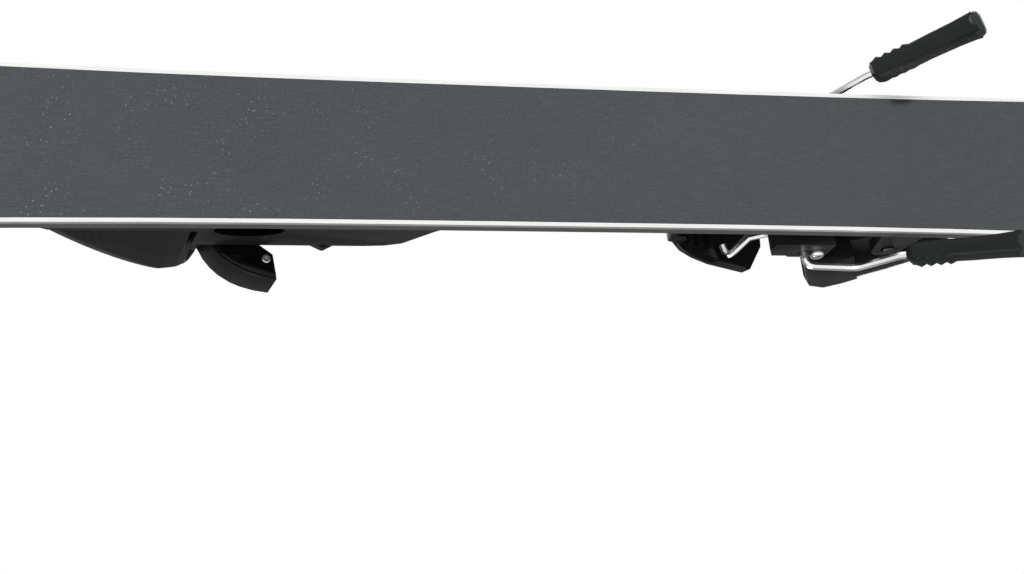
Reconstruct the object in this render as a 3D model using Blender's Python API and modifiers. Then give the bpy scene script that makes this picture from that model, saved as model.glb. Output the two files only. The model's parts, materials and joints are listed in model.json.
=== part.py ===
"""Alpine ski with its release binding and ski brake, one solid for each piece.

Metres. X points to the tip, Y to the left, Z up from the base. The origin lies on the running base, under the
middle of the boot sole. The heel piece is open and the brake is down, as the ski lies with no boot in it.
"""

from math import ceil, cos, pi, radians, sin, sqrt

import bmesh
import bpy
from mathutils import Matrix, Vector

# Gaps between pieces
GAP = 0.0003
LAYER_GAP = 0.0002
RUN_GAP = 0.0005

# Ski outline
TIP_X = 0.880
TAIL_X = -0.720
WAIST_X = 0.020
WAIST_WIDTH = 0.074
TIP_WIDEST_X = 0.735
TIP_WIDTH = 0.114
TAIL_WIDEST_X = -0.650
TAIL_WIDTH = 0.102
TAIL_CORNER_RADIUS = 0.038

# Ski side view
FLAT_FRONT_X = 0.262
FLAT_REAR_X = -0.262
TIP_CONTACT_X = 0.640
TAIL_CONTACT_X = -0.625
CAMBER = 0.005
TIP_RISE = 0.056
TAIL_RISE = 0.012
MIDDLE_THICKNESS = 0.0125
END_THICKNESS = 0.0056

# Ski layers
BASE_SHOULDER = 0.00135
BASE_THICKNESS = 0.0020
EDGE_WIDTH = 0.0020
EDGE_FLANGE = 0.0060
LAMINATE_THICKNESS = 0.0006
TOPSHEET_THICKNESS = 0.0007
SIDEWALL_WIDTH = 0.0070
SIDEWALL_HEIGHT = 0.0070
TOP_INSET = 0.0052
EDGE_FRONT_X = 0.800
EDGE_REAR_X = -0.685
SIDEWALL_FRONT_X = 0.700
SIDEWALL_REAR_X = -0.640
STATION_STEP = 0.062

# Tail protector
PROTECTOR_LENGTH = 0.018
PROTECTOR_WIDTH = 0.026
PROTECTOR_WALL = 0.0015

# Boot sole that the binding holds
SOLE_LENGTH = 0.312
SOLE_HEEL_RADIUS = 0.035
HEEL_LUG_HEIGHT = 0.030
SOLE_Z = 0.0405

# Mounting screws
SCREW_HEAD_RADIUS = 0.0046
SCREW_HEAD_HEIGHT = 0.0022
SCREW_RADIUS = 0.0026
SCREW_DEPTH = 0.0085

# Toe base plate and boot rest
TOE_PLATE_HALF = 0.033
TOE_PLATE_FRONT_X = 0.257
TOE_PLATE_LOW = 0.0215
TOE_STAND_FRONT_X = 0.179
TOE_STAND_Z = 0.037
TOE_STAND_REAR_X = 0.061
TOE_POCKET_WALL = 0.007
TOE_POCKET_INNER = 0.0215
TOE_SCREW_FRONT_X = 0.2315
TOE_SCREW_EDGE = 0.0035
TOE_SCREW_REAR = (0.148, 0.0125)
TOE_RECESS_X = 0.1555
TOE_RECESS_Z = 0.0195
TOE_RECESS_HALF = 0.0168
TOE_RECESS_HEIGHT = 0.0072
TOE_RECESS_DEPTH = 0.005
REST_PLATE_X = 0.116
REST_PLATE_LENGTH = 0.032
REST_PLATE_HALF = 0.0345
REST_PLATE_TRAVEL = 0.006

# Toe housing: a nose that slopes up to a high roof, and a round lobe over the wings behind it
TOE_AXIS_Z = 0.0385
TOE_NOSE_X = 0.252
TOE_BROW_X = 0.189
TOE_LOBE_X = 0.1655
TOE_POCKET_X = 0.192
TOE_POCKET_HALF = 0.0276
TOE_HALF = 0.035
TOE_TOP_Z = 0.0775
TOE_ROOF_DROP = 0.032
TOE_LOBE_DROP = 0.010
SHOULDER_Z = 0.0615
SHOULDER_DROP = 0.0325
ROOF_LOW_Z = 0.059
TOE_SPRING_RADIUS = 0.0095
TOE_SPRING_WIRE = 0.0014
TOE_SPRING_TURNS = 5
TOE_BORE_RADIUS = 0.0120
TOE_BORE_FRONT_X = 0.235
ADJUSTER_RADIUS = 0.0027
ADJUSTER_HEAD_RADIUS = 0.0050
ADJUSTER_HEAD_LENGTH = 0.0082
TOE_NUT_X = 0.224
NUT_LENGTH = 0.005
NUT_TRAVEL = 0.006
TOE_WINDOW_HALF = (0.0095, 0.0052)
WINDOW_THICKNESS = 0.0022
POINTER_HALF = 0.0015

# Toe wings
WING_PIVOT_X = 0.1745
WING_PIVOT_Y = 0.0212
WING_BOSS_RADIUS = 0.0060
WING_PIN_RADIUS = 0.0024
WING_PIN_LOW_Z = 0.0335
WING_PIN_HIGH_Z = 0.0665
WING_LOW_Z = 0.0407
WING_HIGH_Z = 0.0582
WING_REAR_X = 0.1387
WING_OUTER_Y = 0.0484
WING_CHAMFER = (0.0057, 0.0050)
WING_CHAMFER_Y = 0.0366
UNDERPLATE_THICKNESS = 0.0022
UNDERPLATE_INSET = 0.0009
UNDERPLATE_SCREW = (0.1436, 0.0391)

# Heel track and rack. A value that ends in FROM_SOLE is an X, or a point, seen from the sole's heel end
TRACK_FRONT_FROM_SOLE = 0.112
TRACK_REAR_FROM_SOLE = -0.082
TRACK_HALF = 0.032
TRACK_THICKNESS = 0.0022
RAIL_INNER = 0.0245
RAIL_WIDTH = 0.0025
RAIL_HEIGHT = 0.0032
RACK_HALF = 0.005
RACK_PITCH = 0.004
RACK_TOOTH = 0.0012
CARRIAGE_TRAVEL = 0.012

# Heel carriage and housing
CARRIAGE_FRONT_FROM_SOLE = 0.01
CARRIAGE_REAR_FROM_SOLE = -0.066
CARRIAGE_FLOOR = 0.0050
CARRIAGE_HALF = 0.030
EAR_RADIUS = 0.0085
EAR_FOOT = 0.013
HEEL_AXLE_FROM_SOLE = -0.032
HEEL_AXLE_Z = 0.042
HEEL_AXLE_RADIUS = 0.0034
HEEL_BODY_HALF = 0.0248
HEEL_CUP_HALF = 0.0330
HEEL_OPEN_DEG = 30.0
LIP_OVERHANG = 0.012
LIP_THICKNESS = 0.0032
TREADLE_THICKNESS = 0.0040
TREADLE_HALF = 0.018
SHELL_LOW_Z = 0.0112
HEEL_SPRING_Z = 0.0140
HEEL_BORE_X = (-0.003, 0.0265)
HEEL_BORE_RADIUS = 0.0092
HEEL_SPRING_RADIUS = 0.0072
HEEL_SPRING_WIRE = 0.0014
HEEL_SPRING_TURNS = 4
HEEL_HEAD_X = -0.0270
HEEL_NUT_X = 0.0055
HEEL_NUT_TRAVEL = 0.003
LEVER_HALF = 0.0162
LEVER_LENGTH = 0.046
LEVER_DROP_DEG = 15.0
LEVER_PIVOT_X = -0.0200
LEVER_PIVOT_Z = 0.0245
LEVER_PIN_RADIUS = 0.0018
LEVER_PIN_HALF = 0.0272
LATCH_HALF = 0.0080
LATCH_FRONT_FROM_SOLE = -0.0525
LATCH_REAR_FROM_SOLE = -0.078
LATCH_PIN_FROM_SOLE = -0.0605
LATCH_PIN_RADIUS = 0.0011
LATCH_PIN_HALF = 0.0145

# Ski brake: each wire's cross stretch turns in a bearing of the brake base, ahead of the cross pin
BRAKE_ARM_FROM_SOLE = 0.025
BRAKE_ARM_Z = 0.028
BRAKE_PIN_FROM_SOLE = 0.0175
BRAKE_PIN_Z = 0.0285
BRAKE_PIN_RADIUS = 0.0033
BRAKE_PIN_HALF = 0.0385
BRAKE_SPRING_WIRE = 0.0010
BRAKE_SPRING_TURNS = 6
BRAKE_SPRING_HALF = 0.0105
WIRE_RADIUS = 0.0020
WIRE_INNER_Y = 0.0237
WIRE_OUTER_Y = 0.0452
BEARING_INNER_Y = 0.0268
BEARING_OUTER_Y = 0.0375
BEARING_FRONT_FROM_SOLE = 0.044
BEARING_Z = 0.0330
BRAKE_FLOOR = 0.0016
BRAKE_FRONT_FROM_SOLE = 0.0955
BRAKE_RAIL_HALF = 0.0282
SPINE_Y = (0.0145, 0.0200)
HINGE_EAR_Y = (0.0205, 0.0245)
HINGE_EAR_RADIUS = 0.0030
PEDAL_HINGE_FROM_SOLE = 0.0895
PEDAL_HINGE_Z = 0.034
PEDAL_PIN_RADIUS = 0.0018
PEDAL_PIN_HALF = 0.0288
PEDAL_EAR_Y = (0.0248, 0.0290)
PEDAL_EAR_RADIUS = 0.0040
PEDAL_HALF = 0.0355
PEDAL_LENGTH = 0.0705
PEDAL_THICKNESS = 0.0024
PEDAL_SKIRT = 0.0058
PEDAL_SKIRT_WALL = 0.0012
PEDAL_TILT_DEG = 24.5
PEG_BEND_FROM_SOLE = (0.0562, 0.0316, 0.0502)
PEG_END_FROM_SOLE = (0.0588, 0.0252, 0.0487)
PEG_CORNER = 0.0036
LEG_CORNER_FROM_SOLE = (0.0475, 0.0246, 0.0402)
KINK_FROM_SOLE = (-0.0015, 0.0467, 0.0250)
PAD_START_FROM_SOLE = (-0.0175, 0.0498, 0.0005)
PAD_END_FROM_SOLE = (-0.0595, 0.0596, -0.0400)
PAD_LENGTH = 0.0590
PAD_CHAMFER = 0.0012
PAD_CORE = 0.030
PAD_DEPTH = 0.0130
PAD_HALF = 0.0048
PAD_TEETH = 4
PAD_TOOTH_PITCH = 0.0050
PAD_TOOTH = 0.0013

# Values that follow from those above
TOP_Z = MIDDLE_THICKNESS
SEAT_Z = TOP_Z + GAP
SOLE_HEEL_X = -SOLE_LENGTH / 2
TRACK_FRONT_X = SOLE_HEEL_X + TRACK_FRONT_FROM_SOLE
TRACK_REAR_X = SOLE_HEEL_X + TRACK_REAR_FROM_SOLE
CARRIAGE_FRONT_X = SOLE_HEEL_X + CARRIAGE_FRONT_FROM_SOLE
CARRIAGE_REAR_X = SOLE_HEEL_X + CARRIAGE_REAR_FROM_SOLE
HEEL_AXLE_X = SOLE_HEEL_X + HEEL_AXLE_FROM_SOLE
LATCH_FRONT_X = SOLE_HEEL_X + LATCH_FRONT_FROM_SOLE
LATCH_REAR_X = SOLE_HEEL_X + LATCH_REAR_FROM_SOLE
LATCH_PIN_X = SOLE_HEEL_X + LATCH_PIN_FROM_SOLE
BRAKE_ARM_X = SOLE_HEEL_X + BRAKE_ARM_FROM_SOLE
BRAKE_PIN_X = SOLE_HEEL_X + BRAKE_PIN_FROM_SOLE
BEARING_FRONT_X = SOLE_HEEL_X + BEARING_FRONT_FROM_SOLE
BRAKE_FRONT_X = SOLE_HEEL_X + BRAKE_FRONT_FROM_SOLE
PEDAL_HINGE_X = SOLE_HEEL_X + PEDAL_HINGE_FROM_SOLE
PEG_BEND = (SOLE_HEEL_X + PEG_BEND_FROM_SOLE[0], *PEG_BEND_FROM_SOLE[1:])
PEG_END = (SOLE_HEEL_X + PEG_END_FROM_SOLE[0], *PEG_END_FROM_SOLE[1:])
LEG_CORNER = (SOLE_HEEL_X + LEG_CORNER_FROM_SOLE[0], *LEG_CORNER_FROM_SOLE[1:])
KINK = (SOLE_HEEL_X + KINK_FROM_SOLE[0], *KINK_FROM_SOLE[1:])
PAD_START = (SOLE_HEEL_X + PAD_START_FROM_SOLE[0], *PAD_START_FROM_SOLE[1:])
PAD_END = (SOLE_HEEL_X + PAD_END_FROM_SOLE[0], *PAD_END_FROM_SOLE[1:])
TRACK_Z = SEAT_Z + TRACK_THICKNESS
RAIL_Z = TRACK_Z + RAIL_HEIGHT
SLIDE_Z = RAIL_Z + GAP
LATCH_PIN_Z = SLIDE_Z + 0.0026
TOE_SCREW_FRONT_Y = WAIST_WIDTH / 2 - SIDEWALL_WIDTH - TOE_SCREW_EDGE

# Colour, roughness and metal of each kind of piece
LOOKS = {
    "base": ((0.035, 0.040, 0.042), 0.35),
    "steel": ((0.70, 0.71, 0.70), 0.25, 1.0),
    "sidewall": ((0.10, 0.10, 0.10), 0.5),
    "laminate": ((0.55, 0.52, 0.42), 0.5),
    "wood": ((0.55, 0.38, 0.20), 0.6),
    "topsheet": ((0.90, 0.88, 0.88), 0.3),
    "aluminium": ((0.75, 0.75, 0.76), 0.35, 1.0),
    "black_plastic": ((0.012, 0.013, 0.013), 0.45),
    "gloss_black": ((0.006, 0.006, 0.006), 0.12),
    "grey_plastic": ((0.05, 0.05, 0.05), 0.4),
    "accent": ((0.65, 0.05, 0.04), 0.4),
    "clear": ((0.85, 0.87, 0.88), 0.1),
}


# Collections, materials and plain mesh helpers

def clear_scene():
    for obj in list(bpy.data.objects):
        bpy.data.objects.remove(obj)


def new_collection(name):
    group = bpy.data.collections.new(name)
    bpy.context.scene.collection.children.link(group)
    return group


def new_material(name, color, roughness, metallic=0.0):
    material = bpy.data.materials.new(name)
    material.use_nodes = True
    shader = material.node_tree.nodes["Principled BSDF"]
    shader.inputs["Base Color"].default_value = (*color, 1.0)
    shader.inputs["Roughness"].default_value = roughness
    shader.inputs["Metallic"].default_value = metallic
    return material


def add_object(name, mesh, look, smooth_deg=None):
    """One piece of the ski, with a material of its own."""
    obj = bpy.data.objects.new(name, mesh)
    PARTS.objects.link(obj)
    mesh.materials.clear()
    mesh.materials.append(new_material(name, *LOOKS[look]))
    if smooth_deg is not None:
        mesh.shade_smooth()
        mesh.set_sharp_from_angle(angle=radians(smooth_deg))
    return obj


def add_cutter(name, mesh):
    obj = bpy.data.objects.new(name, mesh)
    CUTTERS.objects.link(obj)
    obj.hide_render = True
    obj.display_type = "WIRE"
    return obj


def set_origin(obj, point):
    """Moves the object's origin to a world point and leaves its shape where it is."""
    shift = Vector(point) - obj.location
    obj.data.transform(Matrix.Translation(-shift))
    obj.location = point


def mesh_from(bm, name):
    bmesh.ops.recalc_face_normals(bm, faces=bm.faces)
    mesh = bpy.data.meshes.new(name)
    bm.to_mesh(mesh)
    bm.free()
    return mesh


def loft(name, rings):
    """A closed skin over rings of points, each ring with as many points as the others."""
    bm = bmesh.new()
    rows = [[bm.verts.new(point) for point in ring] for ring in rings]
    count = len(rows[0])
    for near, far in zip(rows, rows[1:]):
        for i in range(count):
            j = (i + 1) % count
            bm.faces.new((near[i], near[j], far[j], far[i]))
    bm.faces.new(rows[0][::-1])
    bm.faces.new(rows[-1])
    return mesh_from(bm, name)


def block(name, low, high):
    bm = bmesh.new()
    size = [b - a for a, b in zip(low, high)]
    middle = [(a + b) / 2 for a, b in zip(low, high)]
    bmesh.ops.create_cube(bm, size=1.0, matrix=Matrix.LocRotScale(middle, None, size))
    return mesh_from(bm, name)


def cylinder(name, start, end, radius, sides=16, end_radius=None):
    start, end = Vector(start), Vector(end)
    turn = (end - start).to_track_quat("Z", "Y").to_matrix().to_4x4()
    place = Matrix.Translation((start + end) / 2) @ turn
    bm = bmesh.new()
    bmesh.ops.create_cone(
        bm, cap_ends=True, segments=sides, radius1=radius, radius2=end_radius or radius,
        depth=(end - start).length, matrix=place,
    )
    return mesh_from(bm, name)


def from_curve(name, curve, place=None):
    """The curve's evaluated shape as a mesh with welded caps."""
    guide = bpy.data.objects.new(name, curve)
    bpy.context.scene.collection.objects.link(guide)
    if place is not None:
        guide.matrix_world = place
    bpy.context.view_layer.update()
    graph = bpy.context.evaluated_depsgraph_get()
    mesh = bpy.data.meshes.new_from_object(guide.evaluated_get(graph))
    mesh.transform(guide.matrix_world)
    bpy.data.objects.remove(guide)
    bm = bmesh.new()
    bm.from_mesh(mesh)
    bmesh.ops.remove_doubles(bm, verts=bm.verts, dist=1e-6)
    bmesh.ops.recalc_face_normals(bm, faces=bm.faces)
    bm.to_mesh(mesh)
    bm.free()
    mesh.name = name
    return mesh


def plate(name, outline, low, high, axis="Z"):
    """A flat outline with thickness: in X and Y along Z, or in X and Z along Y."""
    curve = bpy.data.curves.new(name, "CURVE")
    curve.dimensions = "2D"
    curve.fill_mode = "BOTH"
    curve.extrude = (high - low) / 2
    spline = curve.splines.new("POLY")
    spline.points.add(len(outline) - 1)
    for point, (a, b) in zip(spline.points, outline):
        point.co = (a, b, 0.0, 1.0)
    spline.use_cyclic_u = True
    middle = (low + high) / 2
    if axis == "Z":
        place = Matrix.Translation((0, 0, middle))
    else:
        place = Matrix.Translation((0, middle, 0)) @ Matrix.Rotation(pi / 2, 4, "X")
    return from_curve(name, curve, place)


def tube(name, points, radius, resolution=1):
    """A round wire through points, each given by its place."""
    curve = bpy.data.curves.new(name, "CURVE")
    curve.dimensions = "3D"
    curve.bevel_depth = radius
    curve.bevel_resolution = resolution
    curve.use_fill_caps = True
    spline = curve.splines.new("POLY")
    spline.points.add(len(points) - 1)
    for point, place in zip(spline.points, points):
        point.co = (*place, 1.0)
    return from_curve(name, curve)


def turned(name, profile, base, direction, steps=16):
    """A profile of radius and height, from its top down to its foot, turned about its axis."""
    bm = bmesh.new()
    verts = [bm.verts.new((radius, 0.0, height)) for radius, height in profile]
    for a, b in zip(verts, verts[1:]):
        bm.edges.new((a, b))
    mesh = bpy.data.meshes.new(name)
    bm.to_mesh(mesh)
    bm.free()
    obj = bpy.data.objects.new(name, mesh)
    bpy.context.scene.collection.objects.link(obj)
    screw = obj.modifiers.new("Turn", "SCREW")
    screw.axis = "Z"
    screw.steps = steps
    screw.render_steps = steps
    screw.use_merge_vertices = True
    screw.merge_threshold = 1e-6
    obj.rotation_euler = Vector(direction).to_track_quat("Z", "Y").to_euler()
    obj.location = base
    bpy.context.view_layer.update()
    graph = bpy.context.evaluated_depsgraph_get()
    result = bpy.data.meshes.new_from_object(obj.evaluated_get(graph))
    result.transform(obj.matrix_world)
    bpy.data.objects.remove(obj)
    bm = bmesh.new()
    bm.from_mesh(result)
    bmesh.ops.remove_doubles(bm, verts=bm.verts, dist=1e-7)
    bmesh.ops.recalc_face_normals(bm, faces=bm.faces)
    bm.to_mesh(result)
    bm.free()
    return result


def place(obj, location, turn_deg):
    """Moves a piece drawn about its own joint, with its cutters, and turns it about the Y axis."""
    for item in [obj] + [modifier.object for modifier in obj.modifiers if modifier.type == "BOOLEAN"]:
        item.location = location
        item.rotation_euler = (0, radians(turn_deg), 0)


def boolean(obj, other, operation):
    modifier = obj.modifiers.new(other.name, "BOOLEAN")
    modifier.operation = operation
    modifier.solver = "EXACT"
    modifier.object = other


def cut(obj, mesh):
    boolean(obj, add_cutter(obj.name + "_cut", mesh), "DIFFERENCE")


def unite(obj, mesh):
    boolean(obj, add_cutter(obj.name + "_add", mesh), "UNION")


def cross_hole(obj, x, z, radius, sides=12):
    """Round hole for a pin across the whole piece."""
    reach = 0.06
    cut(obj, cylinder("hole", (x, -reach, z), (x, reach, z), radius, sides))


def round_edges(obj, width, segments=2, angle_deg=40.0):
    bevel = obj.modifiers.new("Rounded edges", "BEVEL")
    bevel.width = width
    bevel.segments = segments
    bevel.limit_method = "ANGLE"
    bevel.angle_limit = radians(angle_deg)


def joined(name, meshes):
    """One cutter mesh of several closed bodies that don't meet."""
    bm = bmesh.new()
    for mesh in meshes:
        bm.from_mesh(mesh)
    result = bpy.data.meshes.new(name)
    bm.to_mesh(result)
    bm.free()
    return result


def mirrored(points):
    """The outline with its mirror image across X added, from front to rear and back."""
    return list(points) + [(x, -y) for x, y in reversed(points)]


def arc(centre, radius, start_deg, end_deg, count):
    steps = [radians(start_deg + (end_deg - start_deg) * i / count) for i in range(count + 1)]
    return [(centre[0] + radius * cos(a), centre[1] + radius * sin(a)) for a in steps]


def side_name(side):
    return "left" if side > 0 else "right"


def both_sides(low, high):
    """The range of Y on the left, then the same range on the right."""
    return (low, high), (-high, -low)


# Ski shape

def smooth_step(share):
    share = min(max(share, 0.0), 1.0)
    return share * share * (3 - 2 * share)


def half_width(x):
    """Half of the ski's width: sidecut, round shovel and square tail."""
    if x > TIP_WIDEST_X:
        share = min((x - TIP_WIDEST_X) / (TIP_X - TIP_WIDEST_X), 0.9988)
        return TIP_WIDTH / 2 * (1 - share**2.4) ** (1 / 1.9)
    if x < TAIL_X + TAIL_CORNER_RADIUS:
        reach = TAIL_X + TAIL_CORNER_RADIUS - x
        return TAIL_WIDTH / 2 - TAIL_CORNER_RADIUS + sqrt(max(TAIL_CORNER_RADIUS**2 - reach**2, 0.0))
    if x < TAIL_WIDEST_X:
        return TAIL_WIDTH / 2
    end_x, end_width = (TIP_WIDEST_X, TIP_WIDTH) if x > WAIST_X else (TAIL_WIDEST_X, TAIL_WIDTH)
    share = (x - WAIST_X) / (end_x - WAIST_X)
    return WAIST_WIDTH / 2 + (end_width - WAIST_WIDTH) / 2 * (1 - (1 - share**3) ** 1.6)


def base_z(x):
    """Height of the running surface: flat under the binding, cambered, turned up at both ends."""
    if FLAT_REAR_X <= x <= FLAT_FRONT_X:
        return 0.0
    if x > 0:
        flat, contact, end, rise = FLAT_FRONT_X, TIP_CONTACT_X, TIP_X, TIP_RISE
    else:
        flat, contact, end, rise = FLAT_REAR_X, TAIL_CONTACT_X, TAIL_X, TAIL_RISE
    drop = -CAMBER * smooth_step((x - flat) / (contact - flat))
    past = max((x - contact) / (end - contact), 0.0)
    return drop + rise * past**2


def thickness(x):
    if FLAT_REAR_X <= x <= FLAT_FRONT_X:
        return MIDDLE_THICKNESS
    flat, end = (FLAT_FRONT_X, TIP_CONTACT_X) if x > 0 else (FLAT_REAR_X, TAIL_CONTACT_X)
    return MIDDLE_THICKNESS + (END_THICKNESS - MIDDLE_THICKNESS) * smooth_step((x - flat) / (end - flat))


def stations():
    """Places of the cross-sections, close together where the outline or the side view turns."""
    marks = [
        TAIL_WIDEST_X, SIDEWALL_REAR_X - LAYER_GAP, SIDEWALL_REAR_X, TAIL_CONTACT_X, FLAT_REAR_X,
        FLAT_FRONT_X, TIP_CONTACT_X, SIDEWALL_FRONT_X, SIDEWALL_FRONT_X + LAYER_GAP, TIP_WIDEST_X,
        EDGE_FRONT_X, EDGE_FRONT_X + LAYER_GAP, EDGE_REAR_X, EDGE_REAR_X - LAYER_GAP,
    ]
    tail_start = TAIL_X + TAIL_CORNER_RADIUS
    marks += [tail_start - TAIL_CORNER_RADIUS * sin(radians(15 * i)) for i in range(7)]
    tip_length = TIP_X - TIP_WIDEST_X
    marks += [TIP_WIDEST_X + tip_length * sin(radians(9 * i)) for i in range(1, 11)]
    marks = sorted(set(marks))
    places = [marks[0]]
    for mark in marks[1:]:
        if mark - places[-1] < LAYER_GAP / 2:
            continue
        parts = max(1, ceil((mark - places[-1]) / STATION_STEP))
        start = places[-1]
        places += [start + (mark - start) * (i + 1) / parts for i in range(parts)]
    return places


def level(x, name):
    """Height of a layer's limit above the running surface."""
    laminate_low = BASE_THICKNESS + LAYER_GAP
    core_low = laminate_low + LAMINATE_THICKNESS + LAYER_GAP
    topsheet_low = thickness(x) - TOPSHEET_THICKNESS
    upper_low = topsheet_low - LAYER_GAP - LAMINATE_THICKNESS
    core_high = upper_low - LAYER_GAP
    levels = {
        "laminate_low": laminate_low, "laminate_high": laminate_low + LAMINATE_THICKNESS,
        "core_low": core_low, "core_high": core_high,
        "upper_low": upper_low, "upper_high": upper_low + LAMINATE_THICKNESS,
        "topsheet_low": topsheet_low, "top": thickness(x),
        "wall_high": min(SIDEWALL_HEIGHT, core_low + 0.6 * (core_high - core_low)),
    }
    return levels[name]


def outer_y(x, height):
    """Half of the width at a height: upright side wall, then drawn in to the top."""
    wall_high = level(x, "wall_high")
    if height <= wall_high:
        return half_width(x)
    share = (height - wall_high) / (thickness(x) - wall_high)
    return half_width(x) - min(TOP_INSET, half_width(x) * 0.4) * share


def ski_layer(name, look, section, low_x, high_x):
    rings = [
        [(x, y, base_z(x) + z) for y, z in section(x)]
        for x in STATIONS
        if low_x - 1e-7 <= x <= high_x + 1e-7
    ]
    return add_object(name, loft(name, rings), look, 30)


def symmetric(points):
    return points + [(-y, z) for y, z in reversed(points)]


def base_section(x):
    has_edges = EDGE_REAR_X - 1e-7 <= x <= EDGE_FRONT_X + 1e-7
    if has_edges:
        outer = half_width(x) - EDGE_WIDTH - LAYER_GAP
        inner = half_width(x) - EDGE_FLANGE - LAYER_GAP
    else:
        outer = half_width(x)
        inner = outer * 0.97
    return symmetric([(outer, 0.0), (outer, BASE_SHOULDER), (inner, BASE_SHOULDER), (inner, BASE_THICKNESS)])


def edge_section(side):
    def section(x):
        outer = half_width(x)
        flange_z = BASE_SHOULDER + LAYER_GAP
        points = [
            (outer, 0.0), (outer, BASE_THICKNESS), (outer - EDGE_FLANGE, BASE_THICKNESS),
            (outer - EDGE_FLANGE, flange_z), (outer - EDGE_WIDTH, flange_z), (outer - EDGE_WIDTH, 0.0),
        ]
        return [(side * y, z) for y, z in points]
    return section


def layer_section(low, high):
    def section(x):
        bottom, top = level(x, low), level(x, high)
        return symmetric([(outer_y(x, bottom), bottom), (outer_y(x, top), top)])
    return section


def spacer_section(x):
    bottom, top = level(x, "core_low"), level(x, "core_high")
    middle = level(x, "wall_high")
    return symmetric([(outer_y(x, bottom), bottom), (outer_y(x, middle), middle), (outer_y(x, top), top)])


def core_section(x):
    half = half_width(x) - SIDEWALL_WIDTH - LAYER_GAP
    return symmetric([(half, level(x, "core_low")), (half, level(x, "core_high"))])


def sidewall_section(side):
    def section(x):
        inner = half_width(x) - SIDEWALL_WIDTH
        bottom, middle, top = level(x, "core_low"), level(x, "wall_high"), level(x, "core_high")
        points = [
            (inner, bottom), (outer_y(x, bottom), bottom), (outer_y(x, middle), middle),
            (outer_y(x, top), top), (inner, top),
        ]
        return [(side * y, z) for y, z in points]
    return section


def tail_protector_mesh():
    """A clip over the top of the tail that turns down over its end."""
    def ring(x, low, high):
        half = PROTECTOR_WIDTH / 2
        return [(x, half, low), (x, half, high), (x, -half, high), (x, -half, low)]
    def top(x):
        return base_z(max(x, TAIL_X)) + thickness(x)
    front_x, end_x = TAIL_X + PROTECTOR_LENGTH, TAIL_X - GAP
    foot = base_z(TAIL_X) + BASE_THICKNESS
    middle_x = (front_x + end_x) / 2
    rings = [ring(x, top(x) + GAP, top(x) + GAP + PROTECTOR_WALL) for x in (front_x, middle_x, end_x)]
    high = top(TAIL_X) + GAP + PROTECTOR_WALL
    rings += [ring(end_x - 1e-5, foot, high), ring(end_x - PROTECTOR_WALL, foot, high - PROTECTOR_WALL / 2)]
    return loft("tail_protector", rings)


def screw_places():
    """Axes of the mounting screws, each with the height of its head's seat."""
    toe = [(TOE_SCREW_FRONT_X, TOE_SCREW_FRONT_Y, TOE_PLATE_LOW), (*TOE_SCREW_REAR, TOE_STAND_Z)]
    heel = [(TRACK_FRONT_X - 0.012, 0.016, TRACK_Z + 0.0003), (TRACK_REAR_X + 0.010, 0.016, TRACK_Z + 0.0003)]
    names = ("toe_screw_front", "toe_screw_rear", "heel_screw_front", "heel_screw_rear")
    for name, (x, y, top_z) in zip(names, toe + heel):
        for side in (1, -1):
            yield f"{name}_{side_name(side)}", x, side * y, top_z


def make_ski():
    span = (TAIL_X, TIP_X)
    base = ski_layer("running_base", "base", base_section, *span)
    for side in (1, -1):
        ski_layer(f"steel_edge_{side_name(side)}", "steel", edge_section(side), EDGE_REAR_X, EDGE_FRONT_X)
        name = f"sidewall_{side_name(side)}"
        ski_layer(name, "sidewall", sidewall_section(side), SIDEWALL_REAR_X, SIDEWALL_FRONT_X)
    ski_layer("lower_laminate", "laminate", layer_section("laminate_low", "laminate_high"), *span)
    core = ski_layer("wood_core", "wood", core_section, SIDEWALL_REAR_X, SIDEWALL_FRONT_X)
    upper = ski_layer("upper_laminate", "laminate", layer_section("upper_low", "upper_high"), *span)
    topsheet = ski_layer("topsheet", "topsheet", layer_section("topsheet_low", "top"), *span)
    ski_layer("tip_spacer", "sidewall", spacer_section, SIDEWALL_FRONT_X + LAYER_GAP, TIP_X)
    ski_layer("tail_spacer", "sidewall", spacer_section, TAIL_X, SIDEWALL_REAR_X - LAYER_GAP)
    add_object("tail_protector", tail_protector_mesh(), "aluminium")
    for layer in (core, upper, topsheet):
        holes = [
            cylinder("hole", (x, y, TOP_Z - SCREW_DEPTH - GAP), (x, y, TOP_Z + 0.01), SCREW_RADIUS + GAP, 10)
            for _, x, y, _ in screw_places()
        ]
        cut(layer, joined("screw_holes", holes))
    return base


def make_mounting_screws():
    foot_z = TOP_Z - SCREW_DEPTH
    for name, x, y, top_z in screw_places():
        length = top_z - foot_z
        head_z = length - SCREW_HEAD_HEIGHT
        profile = [
            (0.0, length - 0.0008), (0.0016, length - 0.0008), (0.0020, length), (SCREW_HEAD_RADIUS, length),
            (SCREW_HEAD_RADIUS, head_z + 0.0007), (SCREW_RADIUS, head_z), (SCREW_RADIUS, 0.002), (0.0, 0.0),
        ]
        add_object(name, turned(name, profile, (x, y, foot_z), (0, 0, 1), 12), "steel", 35)


def cut_screw_seats(obj, prefix):
    """Counterbored holes for the screws whose names begin with the prefix."""
    bodies = []
    for name, x, y, top_z in screw_places():
        if name.startswith(prefix):
            seat_z = top_z - SCREW_HEAD_HEIGHT - GAP
            bodies.append(turned("seat", [
                (0.0, 0.05), (SCREW_HEAD_RADIUS + GAP, 0.05), (SCREW_HEAD_RADIUS + GAP, seat_z),
                (SCREW_RADIUS + GAP, seat_z), (SCREW_RADIUS + GAP, 0.01), (0.0, 0.01),
            ], (x, y, 0.0), (0, 0, 1), 12))
    cut(obj, joined("screw_seats", bodies))


# Toe piece

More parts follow.
